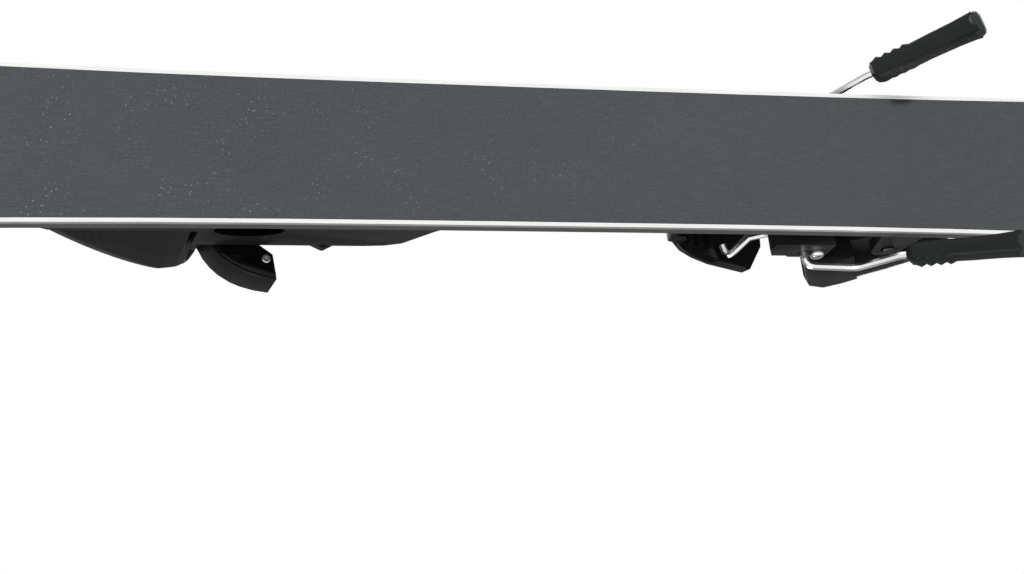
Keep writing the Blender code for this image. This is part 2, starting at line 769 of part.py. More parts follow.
def make_toe_base():
    rear = TOE_STAND_REAR_X
    outline = [
        (TOE_PLATE_FRONT_X, SEAT_Z), (TOE_PLATE_FRONT_X, SEAT_Z + 0.0035),
        (TOE_PLATE_FRONT_X - 0.010, TOE_PLATE_LOW), (TOE_STAND_FRONT_X, TOE_PLATE_LOW),
        (TOE_STAND_FRONT_X, TOE_STAND_Z), (rear + 0.036, TOE_STAND_Z), (rear + 0.026, TOE_STAND_Z - 0.0008),
        (rear + 0.017, TOE_STAND_Z - 0.0040), (rear + 0.005, SEAT_Z + 0.0055), (rear, SEAT_Z + 0.0008),
        (rear, SEAT_Z),
    ]
    half = TOE_PLATE_HALF
    mesh = plate("toe_base_plate", outline, -half, half, "Y")
    base = add_object("toe_base_plate", mesh, "black_plastic", 30)
    round_edges(base, 0.0012, 2, 35)
    inner = half - TOE_POCKET_WALL
    pocket_top = TOE_STAND_Z - 0.0065
    wall_x = (TOE_STAND_FRONT_X + rear) / 2 + 0.012
    under = 0.005
    pockets = [block("pocket", (rear + 0.020, -inner, under), (wall_x - 0.0025, inner, pocket_top - 0.003))]
    near_x, far_x, high = wall_x + 0.020, TOE_STAND_FRONT_X - 0.006, pocket_top - 0.006
    for low_y, high_y in both_sides(TOE_POCKET_INNER, inner + 0.001):
        pockets.append(block("pocket", (near_x, low_y, under), (far_x, high_y, high)))
    cut(base, joined("pockets", pockets))
    recesses = []
    circle = arc((0, 0), 1, 0, 337.5, 15)
    for side in (1, -1):
        oval = [(TOE_RECESS_X + TOE_RECESS_HALF * a, TOE_RECESS_Z + TOE_RECESS_HEIGHT * b) for a, b in circle]
        low, high = sorted((side * (half - TOE_RECESS_DEPTH), side * (half + 0.01)))
        recesses.append(plate("recess", oval, low, high, "Y"))
    cut(base, joined("recesses", recesses))
    pins = []
    for side in (1, -1):
        foot = (WING_PIVOT_X, side * WING_PIVOT_Y, WING_PIN_LOW_Z - GAP)
        pins.append(cylinder("pin_hole", foot, (foot[0], foot[1], 0.05), WING_PIN_RADIUS + GAP, 12))
    cut(base, joined("pin_holes", pins))
    cut_screw_seats(base, "toe_screw")
    return base


def roof_z(x):
    """Height of the housing's roof: down in a curve to the nose, and a little over the lobe."""
    if x > TOE_BROW_X:
        return TOE_TOP_Z - TOE_ROOF_DROP * ((x - TOE_BROW_X) / (TOE_NOSE_X - TOE_BROW_X)) ** 1.45
    return TOE_TOP_Z - TOE_LOBE_DROP * ((TOE_BROW_X - x) / (TOE_BROW_X - TOE_LOBE_X)) ** 3


def shoulder_z(x):
    """Height of the edge between the side and the roof: a straight line down to the nose."""
    return SHOULDER_Z - SHOULDER_DROP * max((x - TOE_BROW_X) / (TOE_NOSE_X - TOE_BROW_X), 0.0)


def housing_half(x):
    """Half of the housing's width: narrower to the nose, round at the nose and the lobe."""
    if x > TOE_BROW_X:
        share = (x - TOE_BROW_X) / (TOE_NOSE_X - TOE_BROW_X)
        rounding = (1 - max((share - 0.86) / 0.145, 0.0) ** 2.5) ** 0.4
        return TOE_HALF * (1 - 0.31 * share**1.6) * rounding
    share = (TOE_BROW_X - x) / (TOE_BROW_X - TOE_LOBE_X)
    return TOE_HALF * (1 - min(share, 0.995) ** 2.6) ** (1 / 2.4)


def housing_ring(x, low_z):
    """A section of the housing: upright side, a clear shoulder and a domed roof."""
    half, top_z = housing_half(x), roof_z(x)
    middle_z = max(shoulder_z(x), low_z + 0.25 * (top_z - low_z))
    crown = top_z - middle_z
    points = [
        (0.92 * half, low_z), (0.985 * half, middle_z - 0.35 * (middle_z - low_z)), (half, middle_z),
        (0.91 * half, middle_z + 0.45 * crown), (0.64 * half, top_z - 0.12 * crown),
        (0.32 * half, top_z - 0.02 * crown),
    ]
    return [(x, y, z) for y, z in symmetric(points)]


def make_toe_housing():
    """One shell: full height ahead of the boot rest, a skirt over it, and the roof alone over the wings."""
    low = TOE_PLATE_LOW + GAP
    skirt_low = TOE_STAND_Z + 2 * GAP
    full_x = TOE_STAND_FRONT_X + 0.0016
    skirt_x = WING_PIVOT_X + 0.0022
    step = 0.0002
    length = TOE_NOSE_X - TOE_BROW_X
    shares = (1, 0.985, 0.95, 0.9, 0.82, 0.72, 0.6, 0.48, 0.34, 0.2, 0.08, 0)
    front = [TOE_BROW_X + length * share for share in shares]
    rings = [housing_ring(x, low) for x in front + [full_x + step]]
    rings += [housing_ring(x, skirt_low) for x in (full_x, skirt_x + step)]
    depth = skirt_x - TOE_LOBE_X
    shares = (0, 0.25, 0.5, 0.7, 0.85, 0.95, 1)
    rings += [housing_ring(skirt_x - depth * share, ROOF_LOW_Z) for share in shares]
    housing = add_object("toe_housing", loft("toe_housing", rings), "black_plastic", 32)
    pocket_top = WING_HIGH_Z + 2 * GAP
    half = TOE_POCKET_HALF
    cut(housing, block("pocket", (TOE_LOBE_X - 0.01, -half, 0.0), (TOE_POCKET_X, half, pocket_top)))
    bore_start = (TOE_POCKET_X - 0.005, 0, TOE_AXIS_Z)
    cut(housing, cylinder("bore", bore_start, (TOE_BORE_FRONT_X, 0, TOE_AXIS_Z), TOE_BORE_RADIUS, 20))
    nose_end = (TOE_NOSE_X + 0.01, 0, TOE_AXIS_Z)
    shaft_start = (TOE_BORE_FRONT_X - 0.004, 0, TOE_AXIS_Z)
    cut(housing, cylinder("shaft_hole", shaft_start, nose_end, ADJUSTER_RADIUS + GAP, 12))
    head_x = TOE_BORE_FRONT_X + ADJUSTER_HEAD_LENGTH
    cut(housing, cylinder("head_hole", (head_x, 0, TOE_AXIS_Z), nose_end, ADJUSTER_HEAD_RADIUS + GAP, 16))
    reach = NUT_TRAVEL + NUT_LENGTH / 2 + 0.001
    half = POINTER_HALF + RUN_GAP
    cut(housing, block("slot", (TOE_NUT_X - reach, -half, TOE_AXIS_Z), (TOE_NUT_X + reach, half, TOE_TOP_Z)))
    cut(housing, window_mesh("seat", GAP, 0.010))
    for side in (1, -1):
        foot = (WING_PIVOT_X, side * WING_PIVOT_Y, WING_PIN_LOW_Z)
        head = (WING_PIVOT_X, side * WING_PIVOT_Y, WING_PIN_HIGH_Z + GAP)
        cut(housing, cylinder("pin_hole", foot, head, WING_PIN_RADIUS + GAP, 12))
    return housing


def window_mesh(name, clearance, extra_height):
    """The scale window: a slab that lies along the slope of the nose."""
    half_length, half_width = TOE_WINDOW_HALF
    low_x, high_x = TOE_NUT_X - half_length, TOE_NUT_X + half_length
    proud = 0.0006
    low_z, high_z = roof_z(low_x) + proud, roof_z(high_x) + proud
    slope = (high_z - low_z) / (high_x - low_x)
    foot = -WINDOW_THICKNESS - clearance
    outline = [
        (low_x - clearance, low_z - slope * clearance + foot),
        (high_x + clearance, high_z + slope * clearance + foot),
        (high_x + clearance, high_z + slope * clearance + extra_height),
        (low_x - clearance, low_z - slope * clearance + extra_height),
    ]
    half = half_width + clearance
    return plate(name, outline, -half, half, "Y")


def wing_outline():
    """Boss, outer curve, straight rear, chamfer and inner side of the left wing, seen from above."""
    boss = arc((WING_PIVOT_X, WING_PIVOT_Y), WING_BOSS_RADIUS, -125, 125, 12)
    root, end = Vector(boss[-1]), Vector((WING_REAR_X, WING_OUTER_Y))
    control = Vector((WING_PIVOT_X - 0.0100, WING_OUTER_Y - 0.0029))
    outer = []
    for i in range(1, 8):
        t = i / 7
        outer.append(tuple((1 - t) ** 2 * root + 2 * t * (1 - t) * control + t * t * end))
    corner_x = WING_REAR_X + 0.0006
    inner = [
        (corner_x, WING_CHAMFER_Y), (corner_x + WING_CHAMFER[0], WING_CHAMFER_Y - WING_CHAMFER[1]),
        (WING_REAR_X + 0.0130, WING_OUTER_Y - 0.0198), (WING_REAR_X + 0.0200, WING_OUTER_Y - 0.0250),
    ]
    return boss, outer, inner


def underplate_outline():
    """The plate under the wing keeps just inside the wing's edge and clear of its boss."""
    boss, outer, inner = wing_outline()
    points = [Vector(point) for point in outer[1:] + inner]
    middle = sum(points, Vector((0, 0))) / len(points)
    return [tuple(point + (middle - point).normalized() * UNDERPLATE_INSET) for point in points]


def make_wing(side):
    name = side_name(side)
    pivot = (WING_PIVOT_X, side * WING_PIVOT_Y)
    boss, outer, inner = wing_outline()
    outline = [(x, side * y) for x, y in boss + outer + inner]
    wing = add_object(f"toe_wing_{name}", plate("wing", outline, WING_LOW_Z, WING_HIGH_Z), "grey_plastic", 35)
    round_edges(wing, 0.0014, 3, 50)
    reach = 0.01
    pin_low, pin_high = (*pivot, WING_LOW_Z - reach), (*pivot, WING_HIGH_Z + reach)
    cut(wing, cylinder("pin_hole", pin_low, pin_high, WING_PIN_RADIUS + GAP, 12))
    screw_x, screw_y = UNDERPLATE_SCREW[0], side * UNDERPLATE_SCREW[1]
    shank_radius, head_radius, head_height = 0.0011, 0.0021, 0.0011
    shank_top = WING_LOW_Z + 0.006
    screw_foot = (screw_x, screw_y, WING_LOW_Z - reach)
    cut(wing, cylinder("screw_hole", screw_foot, (screw_x, screw_y, shank_top + GAP), shank_radius + GAP, 10))
    set_origin(wing, (*pivot, WING_LOW_Z))

    high = WING_LOW_Z - GAP
    low = high - UNDERPLATE_THICKNESS
    outline = [(x, side * y) for x, y in underplate_outline()]
    under = add_object(f"wing_underplate_{name}", plate("underplate", outline, low, high), "gloss_black", 35)
    round_edges(under, 0.0004, 1, 50)
    cut(under, cylinder("screw_hole", screw_foot, (screw_x, screw_y, high + reach), shank_radius + GAP, 10))
    seat_top = (screw_x, screw_y, low + head_height - 0.0002)
    cut(under, cylinder("head_seat", screw_foot, seat_top, head_radius + GAP, 14))
    set_origin(under, (*pivot, WING_LOW_Z))

    foot_z = low - 0.0005
    length = shank_top - foot_z
    profile = [
        (0.0, length), (shank_radius, length), (shank_radius, head_height), (head_radius, head_height),
        (head_radius, 0.0003), (head_radius - 0.0003, 0.0), (0.0009, 0.0), (0.0007, 0.0006), (0.0, 0.0006),
    ]
    screw = turned("underplate_screw", profile, (screw_x, screw_y, foot_z), (0, 0, 1), 12)
    screw = add_object(f"underplate_screw_{name}", screw, "steel", 35)
    set_origin(screw, (*pivot, WING_LOW_Z))

    pin = [
        (0.0, WING_PIN_HIGH_Z), (WING_PIN_RADIUS, WING_PIN_HIGH_Z), (WING_PIN_RADIUS, WING_PIN_LOW_Z),
        (0.0, WING_PIN_LOW_Z),
    ]
    add_object(f"wing_pin_{name}", turned("wing_pin", pin, (*pivot, 0.0), (0, 0, 1), 12), "steel", 35)


def helix(centre, axis_start, axis_end, radius, turns, points_per_turn, axis="X", start_deg=0.0):
    """Points of a coil along X or Y."""
    count = int(turns * points_per_turn)
    places = []
    for i in range(count + 1):
        share = i / count
        angle = radians(start_deg) + 2 * pi * turns * share
        along = axis_start + (axis_end - axis_start) * share
        a, b = radius * cos(angle), radius * sin(angle)
        if axis == "X":
            places.append((along, centre[0] + a, centre[1] + b))
        else:
            places.append((centre[0] + a, along, centre[1] + b))
    return places


def print_coil_gap(name, places, wire_radius, points_per_turn):
    """Least gap between the coil's wire and the next turn, from the points of its middle line."""
    points = [Vector(place) for place in places]
    count, far = len(points), points_per_turn // 2
    least = min((points[i] - points[j]).length for i in range(count) for j in range(i + far, count))
    print(f"{name}: least gap between turns {1000 * (least - 2 * wire_radius):.2f} mm")


def add_spring(name, places, wire_radius, points_per_turn):
    print_coil_gap(name, places, wire_radius, points_per_turn)
    return add_object(name, tube(name, places, wire_radius), "steel", 60)


def rest_plate_outline():
    front, rear = REST_PLATE_X + REST_PLATE_LENGTH / 2, REST_PLATE_X - REST_PLATE_LENGTH / 2
    half = REST_PLATE_HALF
    return mirrored([
        (front, half - 0.009), (front - 0.006, half - 0.005), (REST_PLATE_X, half),
        (rear + 0.006, half - 0.005), (rear, half - 0.009),
    ])


def make_toe_release():
    """Spring, plunger, nut and adjusting screw in the housing, and the window over the nut's pointer."""
    axis = (0, TOE_AXIS_Z)

    def on_axis(x):
        return (x, *axis)

    rear_x = WING_PIVOT_X + WING_BOSS_RADIUS + 2 * GAP
    thickness, stem_radius, flange = 0.0042, 0.0050, 0.0025
    plunger = block("toe_plunger", (rear_x, -0.0235, 0.0290), (rear_x + thickness, 0.0235, 0.0560))
    plunger = add_object("toe_plunger", plunger, "grey_plastic")
    flange_x = TOE_POCKET_X + RUN_GAP
    disc_radius = TOE_BORE_RADIUS - 0.0008
    hole, over = ADJUSTER_RADIUS + GAP, 0.01
    unite(plunger, cylinder("stem", on_axis(rear_x + 0.003), on_axis(flange_x), stem_radius, 12))
    flange_start, flange_end = on_axis(flange_x - 0.0002), on_axis(flange_x + flange)
    unite(plunger, cylinder("flange", flange_start, flange_end, disc_radius, 20))
    cut(plunger, cylinder("rod_hole", on_axis(rear_x - over), on_axis(flange_x + over), hole + GAP, 12))

    nut_low, nut_high = TOE_NUT_X - NUT_LENGTH / 2, TOE_NUT_X + NUT_LENGTH / 2
    spring_start = flange_x + flange + TOE_SPRING_WIRE + GAP
    spring_end = nut_low - TOE_SPRING_WIRE - GAP
    coil = helix(axis, spring_start, spring_end, TOE_SPRING_RADIUS - 0.001, TOE_SPRING_TURNS, 9)
    add_spring("toe_spring", coil, TOE_SPRING_WIRE, 9)

    nut = cylinder("nut", on_axis(nut_low), on_axis(nut_high), disc_radius, 20)
    nut = add_object("toe_spring_nut", nut, "accent", 35)
    pointer_top = roof_z(TOE_NUT_X + NUT_TRAVEL + 0.001) - WINDOW_THICKNESS - 0.0008
    half = POINTER_HALF
    low, high = (TOE_NUT_X - 0.001, -half, TOE_AXIS_Z + 0.008), (TOE_NUT_X + 0.001, half, pointer_top)
    unite(nut, block("pointer", low, high))
    cut(nut, cylinder("rod_hole", on_axis(nut_low - over), on_axis(nut_high + over), hole, 12))

    nose_face = TOE_NOSE_X - RUN_GAP
    foot_x = TOE_NUT_X - 0.012
    length = nose_face - foot_x
    head = TOE_BORE_FRONT_X + ADJUSTER_HEAD_LENGTH + GAP - foot_x
    profile = [
        (0.0, length - 0.0012), (0.0020, length - 0.0012), (0.0024, length),
        (ADJUSTER_HEAD_RADIUS - 0.0005, length), (ADJUSTER_HEAD_RADIUS, length - 0.0005),
        (ADJUSTER_HEAD_RADIUS, head), (ADJUSTER_RADIUS, head), (ADJUSTER_RADIUS, 0.0), (0.0, 0.0),
    ]
    adjuster = turned("toe_adjuster", profile, on_axis(foot_x), (1, 0, 0), 16)
    adjuster = add_object("toe_adjuster", adjuster, "steel", 35)
    cut(adjuster, screw_slot(nose_face - 0.0016, nose_face + 0.01, TOE_AXIS_Z))
    set_origin(adjuster, on_axis(foot_x))

    add_object("toe_window", window_mesh("toe_window", 0.0, -0.0002), "clear", 35)
    rest = plate("rest", rest_plate_outline(), TOE_STAND_Z + GAP, SOLE_Z)
    rest = add_object("toe_rest_plate", rest, "grey_plastic", 35)
    round_edges(rest, 0.0006, 1, 50)


def screw_slot(low_x, high_x, middle_z):
    """Driver slot across the head of an adjusting screw."""
    half, reach = 0.0006, 0.0042
    return block("slot", (low_x, -half, middle_z - reach), (high_x, half, middle_z + reach))


# Heel piece

def make_track():
    rail_outer = RAIL_INNER + RAIL_WIDTH
    def ring(x, rail_z):
        points = [
            (TRACK_HALF, SEAT_Z), (TRACK_HALF, TRACK_Z), (rail_outer, TRACK_Z), (rail_outer, rail_z),
            (RAIL_INNER, rail_z), (RAIL_INNER, TRACK_Z),
        ]
        return [(x, y, z) for y, z in points + [(-y, z) for y, z in reversed(points)]]
    ramp = 0.006
    low_rail = TRACK_Z + 0.0004
    rings = [
        ring(TRACK_REAR_X, low_rail), ring(TRACK_REAR_X + ramp, RAIL_Z), ring(TRACK_FRONT_X - ramp, RAIL_Z),
        ring(TRACK_FRONT_X, low_rail),
    ]
    track = add_object("heel_track", loft("heel_track", rings), "steel")
    cut_screw_seats(track, "heel_screw")

    low, high = TRACK_Z + GAP, RAIL_Z - 0.0004
    start, end = TRACK_REAR_X + 0.018, CARRIAGE_FRONT_X + 0.030
    teeth = int((end - start) / RACK_PITCH)
    outline = [(start, low)]
    outline += [(start + teeth * RACK_PITCH, low)]
    for i in reversed(range(teeth)):
        x = start + i * RACK_PITCH
        outline += [
            (x + RACK_PITCH, high - RACK_TOOTH), (x + 0.75 * RACK_PITCH, high - RACK_TOOTH),
            (x + 0.60 * RACK_PITCH, high), (x + 0.15 * RACK_PITCH, high),
        ]
    outline.append((start, high - RACK_TOOTH))
    add_object("heel_rack", plate("heel_rack", outline, -RACK_HALF, RACK_HALF, "Y"), "steel")


def heel_point(x, z):
    """World place of a point given from the heel axle, with the heel closed."""
    turn = radians(-HEEL_OPEN_DEG)
    return HEEL_AXLE_X + x * cos(turn) + z * sin(turn), HEEL_AXLE_Z - x * sin(turn) + z * cos(turn)


def place_open(obj):
    """Sets a piece drawn with its origin on the heel axle in its place, tipped from closed to open."""
    place(obj, (HEEL_AXLE_X, 0, HEEL_AXLE_Z), -HEEL_OPEN_DEG)


def make_carriage():
    """Sliding block that grips the rails, with an ear at each side for the axle."""
    floor = SLIDE_Z
    top = floor + CARRIAGE_FLOOR
    front, rear, half = CARRIAGE_FRONT_X, CARRIAGE_REAR_X, CARRIAGE_HALF
    leg_inner = RAIL_INNER + RAIL_WIDTH + GAP
    leg_foot = TRACK_Z + GAP

    def ring(x, top_z):
        outline = symmetric([(leg_inner, floor), (leg_inner, leg_foot), (half, leg_foot), (half, top_z)])
        return [(x, y, z) for y, z in outline]

    rings = [ring(rear, top - 0.0015), ring(rear + 0.004, top), ring(front, top)]
    carriage = add_object("heel_carriage", loft("heel_carriage", rings), "black_plastic")
    ear_outline = [(HEEL_AXLE_X - EAR_FOOT, top - 0.002)]
    ear_outline += arc((HEEL_AXLE_X, HEEL_AXLE_Z), EAR_RADIUS, 165, 15, 8)
    ear_outline += [(HEEL_AXLE_X + EAR_FOOT, top - 0.002)]
    for side in (1, -1):
        low, high = sorted((side * (HEEL_BODY_HALF + RUN_GAP), side * (half - 0.0003)))
        unite(carriage, plate("ear", ear_outline, low, high, "Y"))
    cross_hole(carriage, HEEL_AXLE_X, HEEL_AXLE_Z, HEEL_AXLE_RADIUS + GAP, 16)
    slot_half, slot_end = LATCH_HALF + RUN_GAP, LATCH_FRONT_X + RUN_GAP
    cut(carriage, block("latch_slot", (rear - 0.01, -slot_half, 0.0), (slot_end, slot_half, 0.04)))
    near, far = [(LATCH_PIN_X, side * (LATCH_PIN_HALF + GAP), LATCH_PIN_Z) for side in (-1, 1)]
    cut(carriage, cylinder("pin_hole", near, far, LATCH_PIN_RADIUS + GAP, 10))

    axle_half = half + 0.0010
    profile = [
        (0.0, axle_half), (HEEL_AXLE_RADIUS - 0.0005, axle_half), (HEEL_AXLE_RADIUS, axle_half - 0.0005),
        (HEEL_AXLE_RADIUS, -axle_half + 0.0005), (HEEL_AXLE_RADIUS - 0.0005, -axle_half), (0.0, -axle_half),
    ]
    axle = turned("heel_axle", profile, (HEEL_AXLE_X, 0, HEEL_AXLE_Z), (0, 1, 0), 16)
    add_object("heel_axle", axle, "steel", 35)

    latch = [
        (LATCH_FRONT_X, SLIDE_Z + 0.0002), (LATCH_PIN_X, SLIDE_Z + 0.0002), (LATCH_REAR_X, SLIDE_Z + 0.0034),
        (LATCH_REAR_X, SLIDE_Z + 0.0056), (LATCH_PIN_X - 0.008, top), (LATCH_FRONT_X, top),
    ]
    latch = add_object("heel_latch", plate("heel_latch", latch, -LATCH_HALF, LATCH_HALF, "Y"), "grey_plastic")
    cross_hole(latch, LATCH_PIN_X, LATCH_PIN_Z, LATCH_PIN_RADIUS + GAP, 10)
    set_origin(latch, (LATCH_PIN_X, 0, LATCH_PIN_Z))
    near, far = [(LATCH_PIN_X, side * LATCH_PIN_HALF, LATCH_PIN_Z) for side in (-1, 1)]
    add_object("latch_pin", cylinder("latch_pin", near, far, LATCH_PIN_RADIUS, 10), "steel", 35)


def heel_hole(housing, low_x, high_x, radius, sides):
    """Round hole along the adjusting screw's axis."""
    cut(housing, cylinder("hole", (low_x, 0, HEEL_SPRING_Z), (high_x, 0, HEEL_SPRING_Z), radius, sides))


def heel_shell(crown):
    """Upper shell behind the cup: upright sides, a rounded shoulder, lower and narrower to the rear."""
    rings = []
    for x, half, drop in (
        (0.0190, 0.0320, -0.0006), (0.0020, 0.0305, -0.0006), (-0.0160, 0.0288, 0.0010),
        (-0.0275, 0.0268, 0.0065), (-0.0318, 0.0240, 0.0140),
    ):
        top_z = crown - drop
        shoulder = SHELL_LOW_Z + 0.65 * (top_z - SHELL_LOW_Z)
        section = symmetric([
            (half - 0.0010, SHELL_LOW_Z), (half, shoulder), (half - 0.0012, top_z - 0.0014),
            (half - 0.0045, top_z),
        ])
        rings.append([(x, y, z) for y, z in section])
    return loft("shell", rings)


def make_heel_housing():
    """Cup, treadle and spring housing, drawn closed with the axle at the origin."""
    sole = SOLE_Z - HEEL_AXLE_Z
    lug = sole + HEEL_LUG_HEIGHT + RUN_GAP
    wall = SOLE_HEEL_X - HEEL_AXLE_X
    lip = wall + LIP_OVERHANG
    crown = lug + LIP_THICKNESS
    body_front, body_low = wall - 0.0135, -0.008
    body = [
        (body_front, crown), (0.002, crown), (-0.016, crown - 0.0015), (-0.028, crown - 0.0075),
        (-0.032, crown - 0.0175), (-0.028, 0.003), (-0.014, body_low), (body_front, body_low),
    ]
    housing = plate("heel_housing", body, -HEEL_BODY_HALF, HEEL_BODY_HALF, "Y")
    housing = add_object("heel_housing", housing, "black_plastic", 35)
    round_edges(housing, 0.0015, 2, 40)
    cup_half = HEEL_CUP_HALF
    shape = mirrored([
        (lip + 0.001, cup_half - 0.0085), (lip - 0.001, cup_half - 0.0025), (wall + 0.004, cup_half),
        (wall - 0.006, cup_half - 0.0005), (wall - 0.0145, cup_half - 0.0015),
    ])
    unite(housing, plate("cup", shape, -0.004, crown, "Z"))
    unite(housing, heel_shell(crown))
    half = TREADLE_HALF
    treadle = mirrored([(lip, half - 0.004), (lip - 0.004, half), (wall - 0.02, half)])
    unite(housing, plate("treadle", treadle, sole - GAP - TREADLE_THICKNESS, sole - GAP, "Z"))
    heel_centre = wall + SOLE_HEEL_RADIUS
    boot_low, boot_high = (heel_centre, 0, sole - GAP), (heel_centre, 0, lug)
    cut(housing, cylinder("boot_heel", boot_low, boot_high, SOLE_HEEL_RADIUS + RUN_GAP, 40))
    cross_hole(housing, 0, 0, HEEL_AXLE_RADIUS + GAP, 16)
    bore_low, bore_high = HEEL_BORE_X
    heel_hole(housing, bore_low, bore_high, HEEL_BORE_RADIUS, 20)
    rear_x = -0.05
    heel_hole(housing, rear_x, bore_low + 0.002, ADJUSTER_RADIUS + GAP, 12)
    heel_hole(housing, rear_x, HEEL_HEAD_X, ADJUSTER_HEAD_RADIUS + GAP, 16)
    slot_half, slot_z = LEVER_HALF + RUN_GAP, LEVER_PIVOT_Z - 0.0056
    cut(housing, block("lever_slot", (rear_x, -slot_half, slot_z), (LEVER_PIVOT_X + 0.0095, slot_half, 0.06)))
    cross_hole(housing, LEVER_PIVOT_X, LEVER_PIVOT_Z, LEVER_PIN_RADIUS + GAP)
    reach = HEEL_NUT_TRAVEL + 0.0022
    nut_low, nut_high = HEEL_NUT_X - reach, HEEL_NUT_X + reach
    pointer_half, window_half, margin = 0.0013, 0.0047, 0.002
    slot_half, over_z = pointer_half + RUN_GAP, crown + 0.01
    cut(housing, block("pointer_slot", (nut_low, -slot_half, HEEL_SPRING_Z), (nut_high, slot_half, over_z)))
    seat_half, window_low, window_high = window_half + GAP, crown - 0.0012, crown + 0.0004
    seat_low, seat_high = nut_low - margin, nut_high + margin
    seat = block("window_seat", (seat_low, -seat_half, window_low - GAP), (seat_high, seat_half, over_z))
    cut(housing, seat)
    place_open(housing)

    low, high = (seat_low + GAP, -window_half, window_low), (seat_high - GAP, window_half, window_high)
    place_open(add_object("heel_window", block("heel_window", low, high), "clear"))

    low, high = HEEL_NUT_X - 0.002, HEEL_NUT_X + 0.002
    disc_radius = HEEL_BORE_RADIUS - 0.0006
    nut = cylinder("nut", (low, 0, HEEL_SPRING_Z), (high, 0, HEEL_SPRING_Z), disc_radius, 20)
    nut = add_object("heel_spring_nut", nut, "accent", 35)
    pointer_length = 0.0009
    pointer_foot = (HEEL_NUT_X - pointer_length, -pointer_half, HEEL_SPRING_Z + 0.006)
    pointer_head = (HEEL_NUT_X + pointer_length, pointer_half, window_low - 2 * GAP)
    unite(nut, block("pointer", pointer_foot, pointer_head))
    heel_hole(nut, low - 0.01, high + 0.01, ADJUSTER_RADIUS + GAP, 12)
    place_open(nut)

    start, end = high + HEEL_SPRING_WIRE + GAP, bore_high - HEEL_SPRING_WIRE - GAP
    coil = helix((0, HEEL_SPRING_Z), start, end, HEEL_SPRING_RADIUS, HEEL_SPRING_TURNS, 9)
    place_open(add_spring("heel_spring", coil, HEEL_SPRING_WIRE, 9))

    head_length, slot_depth = 0.0062, 0.0016
    head_end, tip = HEEL_HEAD_X - head_length, HEEL_NUT_X + 0.007
    head, length = head_length - GAP, tip - head_end
    profile = [
        (0.0, length), (ADJUSTER_RADIUS, length), (ADJUSTER_RADIUS, head), (ADJUSTER_HEAD_RADIUS, head),
        (ADJUSTER_HEAD_RADIUS, 0.0005), (ADJUSTER_HEAD_RADIUS - 0.0005, 0.0), (0.0024, 0.0), (0.0020, 0.0012),
        (0.0, 0.0012),
    ]
    adjuster = turned("heel_adjuster", profile, (head_end, 0, HEEL_SPRING_Z), (1, 0, 0), 16)
    adjuster = add_object("heel_adjuster", adjuster, "steel", 35)
    cut(adjuster, screw_slot(head_end - 0.01, head_end + slot_depth, HEEL_SPRING_Z))
    place_open(adjuster)

    pin_half = LEVER_PIN_HALF
    profile = [(0.0, pin_half), (LEVER_PIN_RADIUS, pin_half), (LEVER_PIN_RADIUS, -pin_half), (0.0, -pin_half)]
    pin = turned("lever_pin", profile, (LEVER_PIVOT_X, 0, LEVER_PIVOT_Z), (0, 1, 0), 12)
    place_open(add_object("lever_pin", pin, "steel", 35))


def make_lever():
    """Opening lever, drawn straight back from its pin and turned to its place with the heel open."""
    length = LEVER_LENGTH
    outline = arc((0, 0), 0.0050, -90, 90, 6)
    outline += [
        (-0.012, 0.0062), (-length * 0.6, 0.0058), (-length + 0.003, 0.0030), (-length, 0.0005),
        (-length + 0.004, -0.0022), (-length * 0.5, -0.0025), (-0.008, -0.0035),
    ]
    lever = plate("heel_lever", outline, -LEVER_HALF, LEVER_HALF, "Y")
    lever = add_object("heel_lever", lever, "black_plastic", 35)
    round_edges(lever, 0.0012, 2, 45)
    cross_hole(lever, 0, 0, LEVER_PIN_RADIUS + GAP)
    x, z = heel_point(LEVER_PIVOT_X, LEVER_PIVOT_Z)
    place(lever, (x, 0, z), -LEVER_DROP_DEG)


# Ski brake

